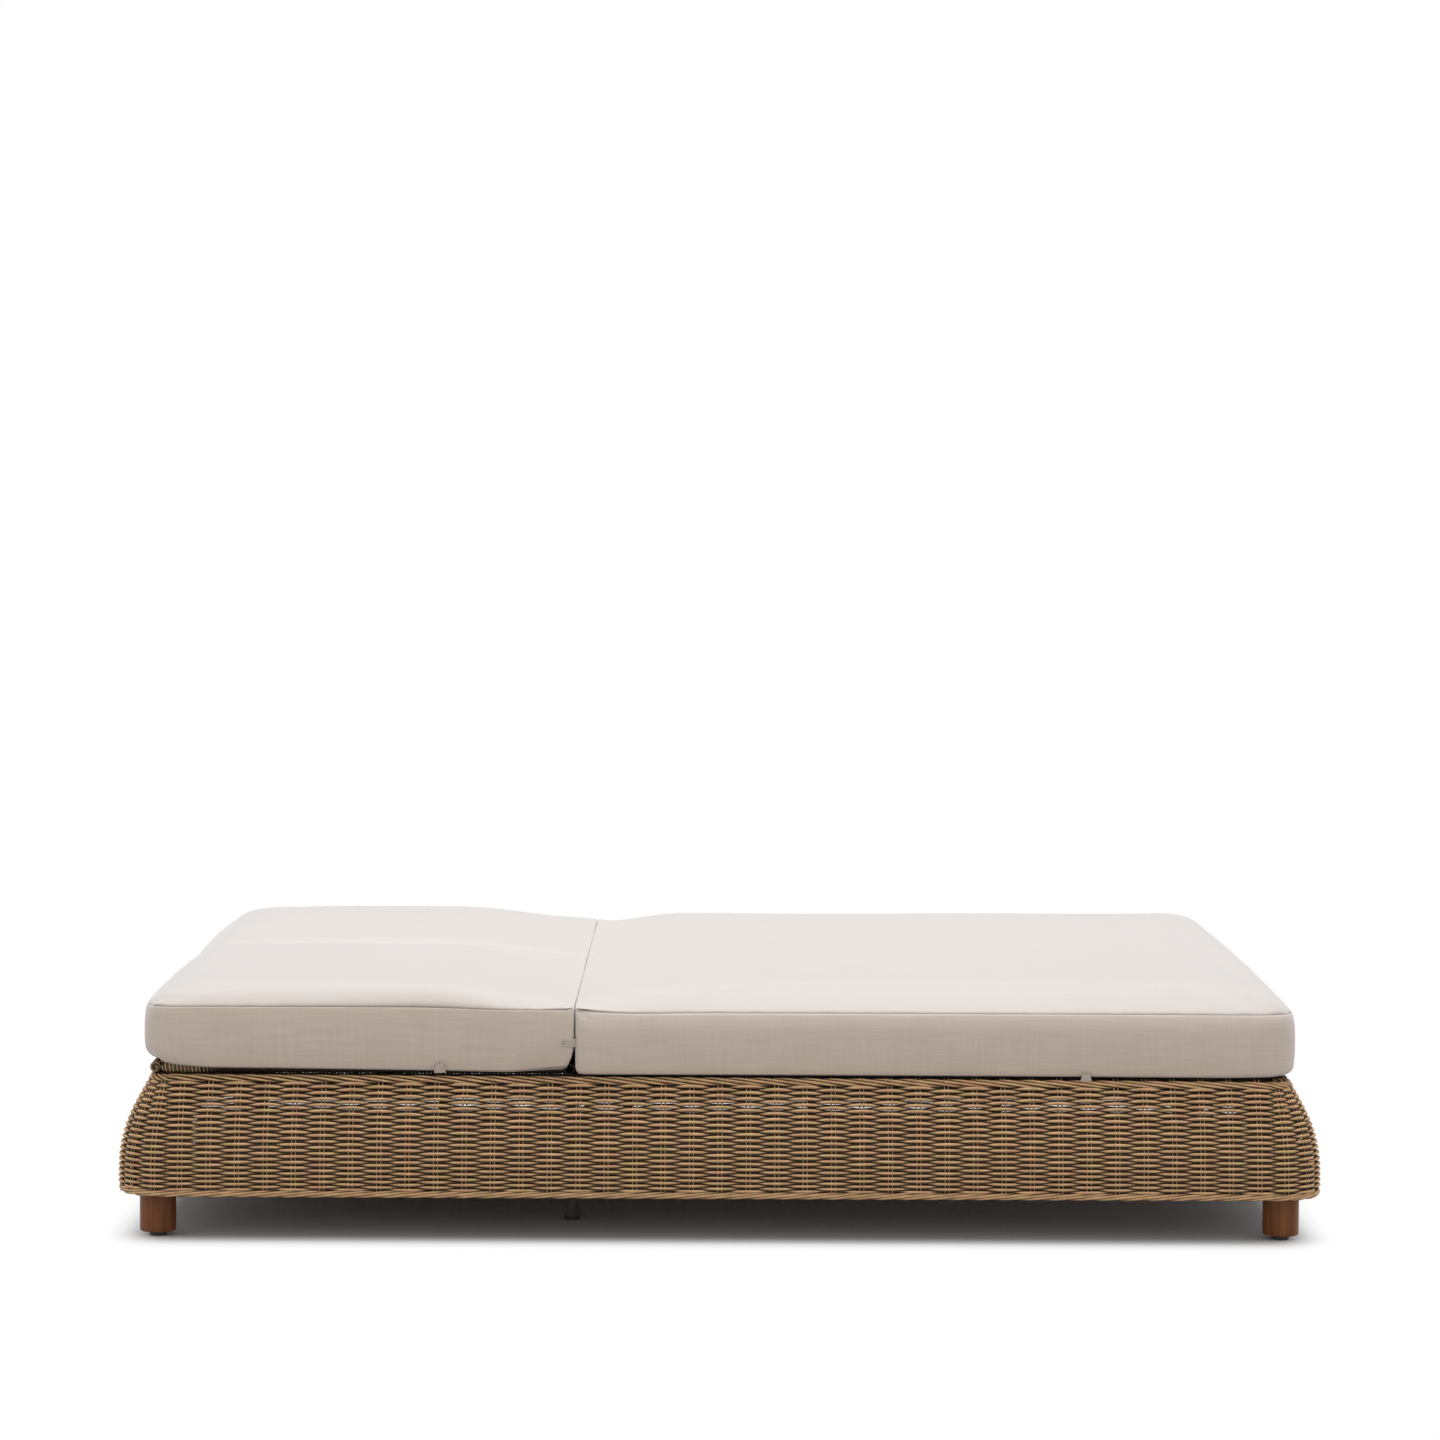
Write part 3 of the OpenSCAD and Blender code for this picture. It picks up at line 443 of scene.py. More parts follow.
def skin_line():
    """Middle line of the weave in section: the skin moved inwards, an arc over the rim and a flat run over
    the rail. Gives its length, distance out from the corner centre, height, and its outward normal."""
    z = np.linspace(SKIN_BOTTOM, RIM_Z - 2, SKIN_POINTS)
    out = CORNER_R - skin_inset(z)
    turn_out, turn_z = np.gradient(out), np.gradient(z)
    size = np.hypot(turn_out, turn_z)
    out, z = out - MID_DEPTH * turn_z / size, z + MID_DEPTH * turn_out / size
    rim_level = RIM_Z - RIM_DEPTH
    keep = z < rim_level - RIM_ROUND
    out, z = out[keep], z[keep]
    first, last = LEAN, math.radians(90.0)
    angle = first + (last - first) * np.linspace(0, 1, BEND_POINTS)[1:]
    radius = (rim_level - z[-1]) / (math.sin(last) - math.sin(first))
    bend_out = out[-1] + radius * (np.cos(angle) - math.cos(first))
    bend_z = z[-1] + radius * (np.sin(angle) - math.sin(first))
    run = np.linspace(0, CAP_RUN, RUN_POINTS)[1:]
    out = np.concatenate([out, bend_out, bend_out[-1] - run])
    z = np.concatenate([z, bend_z, np.full(len(run), bend_z[-1])])
    length = np.concatenate([[0], np.cumsum(np.hypot(np.diff(out), np.diff(z)))])
    fall_out, fall_z = np.gradient(out, length), np.gradient(z, length)
    size = np.hypot(fall_out, fall_z)
    return length, out, z, fall_z / size, -fall_out / size


LINE_S, LINE_OUT, LINE_Z, LINE_NOUT, LINE_NZ = skin_line()
WALL_TOP = 261.0
WALL_S = float(np.interp(WALL_TOP, LINE_Z, LINE_S))
SIDE_STAKES, END_STAKES, CORNER_STAKES = 39, 28, 3
SPAN_STAKES = {"near": SIDE_STAKES, "foot_near": CORNER_STAKES,
               "foot": END_STAKES, "foot_far": CORNER_STAKES,
               "far": SIDE_STAKES, "head_far": CORNER_STAKES,
               "head": END_STAKES, "head_near": CORNER_STAKES}
KNOTS = np.cumsum([0, *SPAN_STAKES.values()]).tolist()
SPANS = dict(zip(SPAN_STAKES, zip(KNOTS, KNOTS[1:])))
LOOP = KNOTS[-1]
CORNER_STARTS = [first for label, (first, last) in SPANS.items() if "_" in label]


def plan_at(u):
    """Plan of the base at u stakes round from the near head corner: the corner centre or run that carries
    the skin, the outward direction, how far one stake pitch is, and how much more it is per unit of
    radius."""
    u = np.mod(u, LOOP)
    x = CORNER_X * np.array([-1, 1, 1, 1, 1, -1, -1, -1, -1])
    y = CORNER_Y * np.array([-1, -1, -1, 1, 1, 1, 1, -1, -1])
    heading = np.radians(np.interp(u, KNOTS, 90 * np.array([-1, -1, 0, 0, 1, 1, 2, 2, 3])))
    centre = np.stack([np.interp(u, KNOTS, x), np.interp(u, KNOTS, y)], -1)
    out = np.stack([np.cos(heading), np.sin(heading)], -1)
    part = np.clip(np.searchsorted(KNOTS, u, side="right") - 1, 0, len(KNOTS) - 2)
    straight = np.tile([2 * CORNER_X / SIDE_STAKES, 0, 2 * CORNER_Y / END_STAKES, 0], 2)[part]
    turning = (part % 2) * (math.pi / 2) / CORNER_STAKES
    return centre, out, straight, turning


def pitch_at(u, s):
    """How far apart two stakes stand at u stakes round and s up the section."""
    straight, turning = plan_at(u)[2:]
    return straight + turning * np.interp(s, LINE_S, LINE_OUT)


def skin_point(u, s, d):
    """Point of the woven skin: u stakes round the plan, s along the section, d outwards from the middle
    line. Also gives the outward normal and the direction up the section."""
    centre, out = plan_at(u)[:2]
    line_out, line_z = np.interp(s, LINE_S, LINE_OUT), np.interp(s, LINE_S, LINE_Z)
    n_out, n_z = np.interp(s, LINE_S, LINE_NOUT), np.interp(s, LINE_S, LINE_NZ)
    reach = line_out + d * n_out
    point = np.concatenate([centre + out * reach[..., None], (line_z + d * n_z)[..., None]], -1)
    normal = np.concatenate([out * n_out[..., None], n_z[..., None]], -1)
    upward = np.concatenate([-out * n_z[..., None], n_out[..., None]], -1)
    return point, normal, upward


ROWS, CAP_ROWS = 37, 4
ROW_LOW, ROW_HIGH, ROW_EASE = 13.6, WALL_S - 10.5, 0.10
ROW_SWAY, RIM_TILT = 0.45, 3.8
WEAVE_DEPTH, WAVE_POWER = 3.9, 0.85
FULL_PITCH, LEAST_DEPTH = 36.0, 0.45
STRAND_DEPTH, STRAND_HALF, STRAND_FULLER = 2.3, 0.475, 0.105
BEHIND_PLAIN, BEHIND_OPEN = 0.48, 0.36
BEHIND_POWER, OPEN_POWER, BEFORE_POWER, ROW_DEEP, DEEP_SWING = 0.6, 4, 0.8, 0.5, 0.8
OPEN_Z, OPEN_BAND, OPEN_CORE = 217.0, 6.0, 0.8
OPEN_S = float(np.interp(OPEN_Z, LINE_Z, LINE_S))
OPEN_FROM, OPEN_TO, OPEN_FADE, OPEN_LEAST = -640.0, 860.0, 160.0, 0.35
MAP_PER_STAKE, ROW_STEPS, EDGE_STEPS = 0.0468, 8, 4
row_share = np.arange(ROWS) / (ROWS - 1)
ROW_S = ROW_LOW + (ROW_HIGH - ROW_LOW) * ((1 - ROW_EASE) * row_share + ROW_EASE * row_share * row_share)
ROW_PITCH = (ROW_HIGH - ROW_LOW) / (ROWS - 1) * ((1 - ROW_EASE) + 2 * ROW_EASE * row_share)
row_tint = dice.random(ROWS + 2 * CAP_ROWS)
WOBBLES = ((11, 1.0), (29, 0.8), (53, 0.7), (87, 0.9))
wobble_phase = dice.random((ROWS, len(WOBBLES))) * TURN


def periodic_wobble(u, phase):
    """Slow irregularity round the loop: a mean of waves that fit the loop a whole number of times."""
    v = TURN * u / LOOP
    waves = [share * np.sin(count * v + start) for (count, share), start in zip(WOBBLES, phase)]
    return sum(waves) / sum(share for _, share in WOBBLES)


def rim_shift(u, s):
    """The woven edge is not quite level: it lies a little higher at the head end than at the foot end, and
    rows follow it with the square of their height."""
    return -RIM_TILT * plan_at(u)[0][..., 0] / CORNER_X * (s / WALL_S) ** 2


def open_share(u):
    """How far the strands behind the stakes are drawn apart: fully on the end walls and along the middle of
    the side walls, less towards the side walls' ends."""
    centre, out = plan_at(u)[:2]
    past_from = (centre[..., 0] - OPEN_FROM) / OPEN_FADE + 0.5
    short_of_to = (OPEN_TO - centre[..., 0]) / OPEN_FADE + 0.5
    middle = np.clip(past_from, 0, 1) * np.clip(short_of_to, 0, 1)
    return 1 - np.abs(out[..., 1]) * (1 - OPEN_LEAST) * (1 - middle)


def round_wall(first, last, steps, count):
    """Places from stake first to stake last, with so many steps for each stake, for count strands."""
    u = np.linspace(first, last, (last - first) * steps + 1)
    return np.broadcast_to(u, (count, len(u)))


def lay_rows(bundle, first, last):
    """Rows of strands that pass before one pair of stakes and behind the next: the depth is a cosine of the
    stake count, turned over from row to row, and the strand is fuller before a stake than at a crossing."""
    u = round_wall(first, last, ROW_STEPS, ROWS)
    row_s = ROW_S[:, None]
    wave = np.cos(math.pi * (u - 0.5 + np.arange(ROWS)[:, None]))
    wave = np.sign(wave) * np.abs(wave) ** WAVE_POWER
    sway = np.stack([periodic_wobble(u[k], wobble_phase[k]) for k in range(ROWS)])
    s = row_s + ROW_SWAY * sway + rim_shift(u, row_s)
    depth = WEAVE_DEPTH * np.clip(pitch_at(u, s) / FULL_PITCH, LEAST_DEPTH, 1.0)
    point, normal, upward = skin_point(u, s, depth * wave)
    before, behind = np.maximum(wave, 0), np.maximum(-wave, 0)
    closed = np.clip(np.abs(s - OPEN_S) / OPEN_BAND - OPEN_CORE, 0, 1)
    opened = BEHIND_OPEN * open_share(u) * (1 - closed) * behind ** OPEN_POWER
    behind_up = BEHIND_PLAIN * behind ** BEHIND_POWER - opened
    half_up = ROW_PITCH[:, None] * (STRAND_HALF + STRAND_FULLER * before ** BEFORE_POWER + behind_up)
    # Painted shade: the further a strand lies behind the stakes, the darker the cane material paints it.
    deep = np.clip(ROW_DEEP - DEEP_SWING * wave, 0, 1)
    bundle.add_tubes(point, normal, upward, STRAND_DEPTH, half_up, u * MAP_PER_STAKE, row_tint[:ROWS], deep)


# STAKE_DEEP is painted shade on the stakes, which stand back between the strands.
STAKE_R, STAKE_APART, STAKE_INSET, STAKE_DEEP = 1.5, 3.3, 1.5, 0.36
CLOSEST_APART, CLOSEST_R, STAKE_POINTS, OVER_POINTS = 0.14, 0.9, 9, 6


def lay_stakes(bundle, first, last):
    """Pairs of round stakes up the middle of the weave and over the rail, closer together in the corners."""
    over_rail = np.linspace(WALL_S, LINE_S[-1] - STAKE_INSET, OVER_POINTS)[1:]
    s = np.concatenate([np.linspace(STAKE_INSET, WALL_S, STAKE_POINTS), over_rail])
    k = np.repeat(np.arange(first, last) + 0.5, 2)
    side = np.tile([-1.0, 1.0], last - first)
    s = np.broadcast_to(s, (len(k), len(s)))
    u = np.broadcast_to(k[:, None], s.shape)
    pitch_here = pitch_at(u, s)
    apart = np.minimum(STAKE_APART, CLOSEST_APART * pitch_here)
    radius = np.minimum(STAKE_R, CLOSEST_R * apart)
    u = u + side[:, None] * apart / np.maximum(pitch_here, 1.0)
    point, normal, upward = skin_point(u, s, np.zeros_like(s))
    bundle.add_tubes(point, normal, np.cross(upward, normal), radius, radius, s * MM, dice.random(len(k)),
                     STAKE_DEEP, sides=5)


BRAID_STRANDS, BRAID_WARP, BRAID_TURNS, BRAID_DEPTH = 4, 0.45, 42, 2.9
BRAID_HALF_UP, BRAID_FULLER, BRAID_HALF_OUT, BRAID_DEEP = 2.15, 0.5, 2.2, 0.56
BRAID_PITCH, BRAID_LEAST = 30.0, 0.6
TOP_BRAID = dict(s_mid=WALL_S - 1.2, rise=-5.6, d_mid=0.6)
BOTTOM_BRAID = dict(s_mid=6.4, rise=4.6, d_mid=0.2)
braid_tint = dice.random((2, BRAID_STRANDS))


def lay_braid(bundle, first, last, s_mid, rise, d_mid, own):
    """Waled edge of four strands: each climbs or falls slowly on the front and returns quickly behind, rise
    up and down about s_mid. The angle is slowed on the front by taking off a share of its sine."""
    u = round_wall(first, last, EDGE_STEPS, BRAID_STRANDS)
    shift = np.arange(BRAID_STRANDS)[:, None] / BRAID_STRANDS
    angle = TURN * (u * BRAID_TURNS / LOOP + shift)
    angle = angle - BRAID_WARP * np.sin(angle)
    s = s_mid + rise * np.sin(angle) + rim_shift(u, s_mid)
    d = d_mid + BRAID_DEPTH * np.cos(angle) * np.clip(pitch_at(u, s) / BRAID_PITCH, BRAID_LEAST, 1.0)
    point, normal, upward = skin_point(u, s, d)
    half_up = BRAID_HALF_UP + BRAID_FULLER * np.cos(angle)
    # Painted shade where a braid strand goes behind the others.
    deep = np.clip(BRAID_DEEP - BRAID_DEEP * np.cos(angle), 0.1, 1)
    bundle.add_tubes(point, normal, upward, BRAID_HALF_OUT, half_up, u * MAP_PER_STAKE, own, deep, sides=6)


CAP_INSET, CAP_PITCH, CAP_HALF, CAP_FLAT, CAP_FULL = 3.0, 5.2, 2.5, 2.1, 2.9
CAP_LEVEL, CAP_WAVE, CAP_LAST, CAP_DEEP, CREVICE_SHADE = 0.6, 0.25, 2.0, 0.3, 0.9


def lay_cap(bundle, first, last):
    """Rows that lie side by side on the rail, over and under the bent stakes; the backs rest on the middle
    rows, which are fuller and lie flat."""
    u = round_wall(first, last, EDGE_STEPS, CAP_ROWS)
    row = np.arange(CAP_ROWS)[:, None]
    s = LINE_S[-1] - CAP_INSET - CAP_PITCH * row + 0 * u
    wave = np.cos(math.pi * (u - 0.5 + row))
    middle = (row % 3 > 0)
    level = np.where(middle, CAP_LEVEL + CAP_WAVE * wave, np.where(row == 0, wave, CAP_LAST))
    point, normal, upward = skin_point(u, s, level)
    half_out = np.where(middle, CAP_FULL, CAP_FLAT)
    # Painted shade where a cap row dips under a bent stake; the last row, seen in the gap under the
    # cushions' bottom edge, is painted dark as the shadow there.
    deep = np.where(row == CAP_ROWS - 1, CREVICE_SHADE, np.clip(CAP_DEEP - CAP_DEEP * wave, 0, 1))
    tint = row_tint[-CAP_ROWS:]
    bundle.add_tubes(point, normal, upward, half_out, CAP_HALF, u * MAP_PER_STAKE, tint, deep, sides=6)


STUBS, STUB_LENGTH, STUB_FROM, STUB_REACH = 9, 11.0, 16.0, 150.0
STUB_R, STUB_TAPER, STUB_OUT, STUB_RISE, STUB_DEEP = 1.5, 0.15, 1.0, 0.35, 0.15
STUB_CROWD, STUB_AHEAD, STUB_POINTS = 1.6, 0.8, 6


def lay_stubs(bundle, corner):
    """Cut ends of strands that stand off the weave a little at a corner, where rows were joined: straight
    and slightly tapered, at a slant up or down."""
    own = np.random.default_rng(400 + corner)
    u = corner + CORNER_STAKES * (0.2 + 0.6 * own.random(STUBS))
    s = STUB_FROM + STUB_REACH * ((np.arange(STUBS) + own.random(STUBS)) / STUBS) ** STUB_CROWD
    t = np.linspace(0, 1, STUB_POINTS)
    length = STUB_LENGTH * (0.6 + 0.6 * own.random(STUBS))[:, None] * t
    s = s[:, None] + length * (own.random(STUBS) - 0.5)[:, None]
    u = u[:, None] + 0 * s
    u = u + STUB_AHEAD * length / pitch_at(u, s)
    point, normal, upward = skin_point(u, s, STUB_OUT + STUB_RISE * length)
    size = STUB_R - STUB_TAPER * t
    # STUB_DEEP is slight painted shade at the stubs' edges.
    bundle.add_tubes(point, normal, upward, size, size, length * MM, own.random(STUBS), STUB_DEEP, sides=6)


for label, from_span, to_span in (("near", "near", "near"), ("foot", "foot_near", "foot_far"),
                                  ("far", "far", "far"), ("head", "head_far", "head_near")):
    wall = SPANS[from_span][0], SPANS[to_span][1]
    bundle = Bundle()
    lay_rows(bundle, *wall)
    lay_stakes(bundle, *wall)
    lay_braid(bundle, *wall, own=braid_tint[0], **TOP_BRAID)
    lay_braid(bundle, *wall, own=braid_tint[1], **BOTTOM_BRAID)
    lay_cap(bundle, *wall)
    for corner in CORNER_STARTS:
        if wall[0] <= corner < wall[1]:
            lay_stubs(bundle, corner)
    bundle.finish(f"woven_{label}_wall", wicker, f"wicker_{label}_wall", "base")


# Backs: tubes wound with cane and a woven panel between them

TUBE_R, WIND_R, WIND_PITCH = 9.5, 1.45, 3.1
STEPS_PER_TURN, CLOSE_TURNS = 9, 2.2
# CORNER_LIGHT is how far from the head end the wound side tubes stay lit before their painted shade begins;
# NO_DARK leaves a tube without it.
SECOND_DARK, CORNER_LIGHT, NO_DARK, DARK_FADE, DARK_DEEP = 0.75, 62.0, 1e6, 30.0, 0.9
WIND_SWAY, SWAY_WAVES, SWAY_TURNS = 0.25, 3.1, 7
WIND_FULLER, WIND_CLOSED, WIND_MAP = 1.05, 0.6, 0.051
CORE_CUT, CORE_STEPS, CORE_SIDES, CORE_UNDER = 0.008, 12, 14, 1.7
ALONG, ACROSS, UP = np.eye(3)


def wind_tube(name, body, start, end, node, seed, shade_from):
    """Cane wound round a tube: a light and a dark strand side by side as a double helix over a smooth core
    tube, drawn in over each end. From the given distance in millimetres on, both strands are darkened as
    painted shade under the cushion, and the core is painted dark as the shade between the windings."""
    start = np.array(start, float)
    run = np.array(end, float) - start
    length = float(np.linalg.norm(run))
    ahead = run / length
    other = np.cross(ahead, UP)
    bundle = Bundle()
    own = np.random.default_rng(seed)
    turns = int((length - 2 * WIND_R) / (2 * WIND_PITCH))
    w = np.linspace(0, 1, turns * STEPS_PER_TURN + 1)
    angle = TURN * turns * w + math.pi * np.arange(2)[:, None]
    sway = WIND_SWAY * np.sin(SWAY_WAVES * angle / SWAY_TURNS + own.random() * TURN)
    out = np.cos(angle)[..., None] * UP + np.sin(angle)[..., None] * other
    run_on = WIND_R + (length - 2 * WIND_R) * w + sway
    # Painted shade along the tube past the lit corner.
    tube_shade = DARK_DEEP * np.clip((run_on - shade_from) / DARK_FADE, 0, 1)
    deep = np.array([[0.0], [SECOND_DARK]]) + tube_shade
    end_turns = np.minimum(w, 1 - w) * turns / CLOSE_TURNS
    close = np.sqrt(1 - (1 - np.clip(end_turns, 0, 1)) ** 2)
    reach = WIND_R * WIND_CLOSED + (TUBE_R - (1 + WIND_CLOSED) * WIND_R) * close
    centre = start + ahead * run_on[..., None] + reach[..., None] * out
    bundle.add_tubes(centre, out, ahead, WIND_R, WIND_R * WIND_FULLER, w * turns * WIND_MAP, own.random(2),
                     np.clip(deep, 0, 1), sides=5)
    core = (start + np.outer(np.linspace(CORE_CUT, 1 - CORE_CUT, CORE_STEPS), run))[None]
    radius = TUBE_R - CORE_UNDER * WIND_R
    # The core is marked fully deep: painted dark as the shade between the windings.
    bundle.add_tubes(core, UP, other, radius, radius, 0.0, own.random(1), 1.0, sides=CORE_SIDES)
    bundle.finish(name, wrap_cane, node, body)


WEB_MID_Z, WEB_STAKES, WEB_ROW_PITCH, WEB_WAVE = 286.8, 14, 5.6, 1.5
WEB_HALF_UP, WEB_HALF_LONG, WEB_FULLER = 1.5, 2.55, 0.3
WEB_STAKE_R, WEB_STAKE_APART, WEB_STAKE_STEPS = 1.4, 3.0, 10
# The two DEEP values are slight painted shade at the edges of the panel's rows and stakes.
WEB_ROW_DEEP, WEB_STAKE_DEEP, WEB_STEPS = 0.12, 0.2, 6


def weave_web(name, body, node, seed):
    """Panel of a back: rows along Y pass over and under stakes along X, between the wound tubes."""
    low, high = (np.array(p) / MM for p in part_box(node))
    bundle = Bundle()
    own = np.random.default_rng(seed)
    stake_pitch = (high[1] - low[1]) / WEB_STAKES
    rows = int((high[0] - low[0]) / WEB_ROW_PITCH)
    v = round_wall(0, WEB_STAKES, WEB_STEPS, rows)
    row = np.arange(rows)[:, None]
    wave = np.cos(math.pi * (v - 0.5 + row))
    x = low[0] + (row + 0.5) * (high[0] - low[0]) / rows + 0 * v
    point = np.stack([x, low[1] + v * stake_pitch, WEB_MID_Z + WEB_WAVE * wave], -1)
    bundle.add_tubes(point, UP, ALONG, WEB_HALF_UP, WEB_HALF_LONG + WEB_FULLER * np.abs(wave),
                     v * MAP_PER_STAKE, own.random(rows), WEB_ROW_DEEP, sides=6)
    k = np.repeat(np.arange(WEB_STAKES) + 0.5, 2)
    y = low[1] + k * stake_pitch + np.tile([-WEB_STAKE_APART, WEB_STAKE_APART], WEB_STAKES)
    y, x = np.meshgrid(y, np.linspace(low[0], high[0], WEB_STAKE_STEPS), indexing="ij")
    point = np.stack([x, y, np.full(x.shape, WEB_MID_Z)], -1)
    bundle.add_tubes(point, UP, ACROSS, WEB_STAKE_R, WEB_STAKE_R, x * MM, own.random(len(k)),
                     WEB_STAKE_DEEP, sides=6)
    bundle.finish(name, wrap_cane, node, body)


HINGE_X, HEAD_X, AXIS_Z = -250.0, -936.5, 279.0
TUBE_Y = {"outer": 677.0, "inner": 16.0}
HEAD_TUBE_Y = (6.5, 686.5)
HEAD_GAP, HINGE_GAP = 9.0, 2.4

for label, sign in (("near", -1), ("far", 1)):
    body = label + "_back"
    head_ends = [(HEAD_X, sign * y, AXIS_Z) for y in HEAD_TUBE_Y]
    wind_tube(f"wound_{label}_head_tube", body, *head_ends, f"{label}_back_head_tube", 11 + sign, NO_DARK)
    for place, y in TUBE_Y.items():
        ends = [(x, sign * y, AXIS_Z) for x in (HEAD_X + HEAD_GAP, HINGE_X - HINGE_GAP)]
        wind_tube(f"wound_{label}_{place}_tube", body, *ends, f"{label}_back_{place}_tube", 21 + sign,
                  CORNER_LIGHT)
    weave_web(f"woven_{label}_panel", body, f"{label}_back_web", 7 if sign < 0 else 8)


# Legs turned from round stock

LEG_X, LEG_Y, LEG_SIDES, LEG_GIRTH = 932.0, 682.0, 48, 0.19
LEG_PROFILE = np.array([(20.0, 8.0), (27.6, 8.0), (29.0, 8.4), (29.7, 9.4), (30.0, 11.0), (30.0, 24.0),
                        (30.0, 42.0), (30.0, 60.0), (30.0, 80.5), (29.7, 82.2), (28.5, 83.0), (20.0, 83.0)])


def turn_leg(node, x, y):
    """Turned leg: a profile of radius over height, carried round the leg's axis, with eased edges."""
    radius, height = LEG_PROFILE.T
    rings = len(radius)
    around = np.arange(LEG_SIDES + 1) / LEG_SIDES
    angle = TURN * np.arange(LEG_SIDES) / LEG_SIDES
    points = np.stack([x + np.outer(radius, np.cos(angle)), y + np.outer(radius, np.sin(angle)),
                       np.repeat(height[:, None], LEG_SIDES, 1)], -1).reshape(-1, 3)
    ends = np.stack([np.arange(LEG_SIDES)[::-1], np.arange(LEG_SIDES) + (rings - 1) * LEG_SIDES])
    make_piece("turned_" + node, points, [grid_faces(rings, LEG_SIDES, wrap=True), ends],
               [grid_map(height * MM, around * LEG_GIRTH), np.zeros((2, LEG_SIDES, 2))], {}, leg_wood, node,
               "base")


for label_y, side_y in (("near", -1), ("far", 1)):
    for label_x, side_x in (("head", -1), ("foot", 1)):
        turn_leg(f"{label_y}_{label_x}_leg", side_x * LEG_X, side_y * LEG_Y)


# Cushions: a crowned top panel, a side band and a flat underside, sewn along a seam

SEAT_CUT = dict(side_h=102.0, crown=34.5, slope=0.0, rise=3.0, sag=(2.0, 4.2), seam_in=12.0, shoulder=28.0,
                lip=0.20, roll_width=85.0, roll_power=1.4, shoulder_light=0.6, reach=155.0, fine=18.0)
BACK_CUT = dict(side_h=88.0, crown=30.0, slope=6.0, rise=0.0, sag=(8.0, 16.5), seam_in=3.5, shoulder=13.0,
                lip=0.28, roll_width=30.0, roll_power=1.2, shoulder_light=0.0, reach=250.0, fine=15.0)
END_SEAM_IN, CORNER_SEAM_IN, CORNER_REACH = 3.5, 1.8, 110.0
LIP_WIDTH, END_ROLL, END_POWER = 7.0, 43.0, 2.0
DOME_SHARE, VALLEY_POWER, BELLY, BELLY_POWER = 0.12, 1.1, 3.2, 2.5
PRESS_SHARE, PRESS_FADE, PRESS_REACH, PRESS_HOLD = 0.97, 9.0, 60.0, 0.8
JOINT_LIFT, JOINT_ROLL, JOINT_POWER, JOINT_FADE = 9.5, 24.0, 1.5, 150.0
SPLIT_LIFT, SPLIT_FROM, SPLIT_FADE, SPLIT_REACH = 27.0, 4.0, 55.0, 90.0
DIP, DIP_AT, DIP_WIDTH, DIP_FADE, SLOPE_QUICK, BOW_POWER = 3.6, 55.0, 80.0, 22.0, 1.25, 8
RIPPLE_WAVES, RIPPLES = 7, ((0, 420.0, 1.8), (50, 150.0, 0.6))
SETTLE_IN, SETTLE_FULL, SAG_IN, SAG_FADE, SAG_POWER = 18.0, 12.5, 8.0, 12.0, 6
# Fades of the painted light down the shoulder and the pressed band, and the painted shade under the foot.
SHOULDER_LIGHT_FADE, PRESS_LIGHT_FADE, FOOT_DARK = 9.0, 60.0, 0.9
TOP_GIVE, SIDE_GIVE = 6.0, 1.2
EDGE_CUTS = (0, 3, 7.5, 14, 23, 34, 48, 65, 85)
SIDE_CUTS = (36.0, 25.0, 16.0, 10.0, 6.0, 3.2, 1.5)
FOOT_CUTS, HELD_RINGS, FOOT_PLAIN = 6, 3, (12.0, 11.0)
CORNERS = ((1, 1), (-1, 1), (-1, -1), (1, -1))


def eased(value):
    """Smooth step from 0 to 1."""
    value = np.clip(value, 0, 1)
    return value * value * (3 - 2 * value)


def cushion_lines(half, fine):
    """Places of the cuts across a panel: close together near the edges, wide apart in the middle."""
    inner = np.linspace(EDGE_CUTS[-1], half, max(3, int((half - EDGE_CUTS[-1]) / fine)))[1:]
    left = -half + np.concatenate([EDGE_CUTS, inner])
    return np.concatenate([left, -left[-2::-1]])


def round_corners(x, y, a, b, radii):
    """Moves points of a rectangle's grid so that its corners are round: inside each corner's square the
    point (p, q) goes to (p sqrt(1 - q q / 2), q sqrt(1 - p p / 2)), which takes a square to a disc."""
    out_x, out_y = x.copy(), y.copy()
    for (sx, sy), r in zip(CORNERS, radii):
        p = (sx * x - (a - r)) / r
        q = (sy * y - (b - r)) / r
        inside = (p > 0) & (q > 0)
        p, q = np.clip(p, 0, 1), np.clip(q, 0, 1)
        new_x = sx * (a - r + r * p * np.sqrt(1 - q * q / 2))
        new_y = sy * (b - r + r * q * np.sqrt(1 - p * p / 2))
        out_x, out_y = np.where(inside, new_x, out_x), np.where(inside, new_y, out_y)
    return out_x, out_y


def bow_sides(x, y, a, b, bows):
    """Bows the sides between the corners, outwards where the amount is positive: a half wave along each
    side that fades to the middle. bows are for the high and low end of X and the high and low side of Y."""
    end, side = np.where(x > 0, bows[0], bows[1]), np.where(y > 0, bows[2], bows[3])
    bow_x = end * np.cos(0.5 * math.pi * np.clip(y / b, -1, 1)) * np.sign(x) * (np.abs(x) / a) ** BOW_POWER
    bow_y = side * np.cos(0.5 * math.pi * np.clip(x / a, -1, 1)) * np.sign(y) * (np.abs(y) / b) ** BOW_POWER
    return x + bow_x, y + bow_y


def ripple(x, y, seed, size):
    """Soft unevenness: a sum of a few long waves in plan, each with its own direction and phase."""
    own = np.random.default_rng(seed)
    total = np.zeros_like(x)
    for _ in range(RIPPLE_WAVES):
        direction, phase = own.random() * TURN, own.random() * TURN
        wave_length = size * (0.6 + own.random())
        total += np.sin((x * math.cos(direction) + y * math.sin(direction)) * TURN / wave_length + phase)
    return total / RIPPLE_WAVES


def valley(inset, reach):
    """Rise from the joint to the crown: a quarter sine wave over the reach of the valley, to a power."""
    return np.sin(0.5 * math.pi * np.clip(inset / reach, 0, 1)) ** VALLEY_POWER


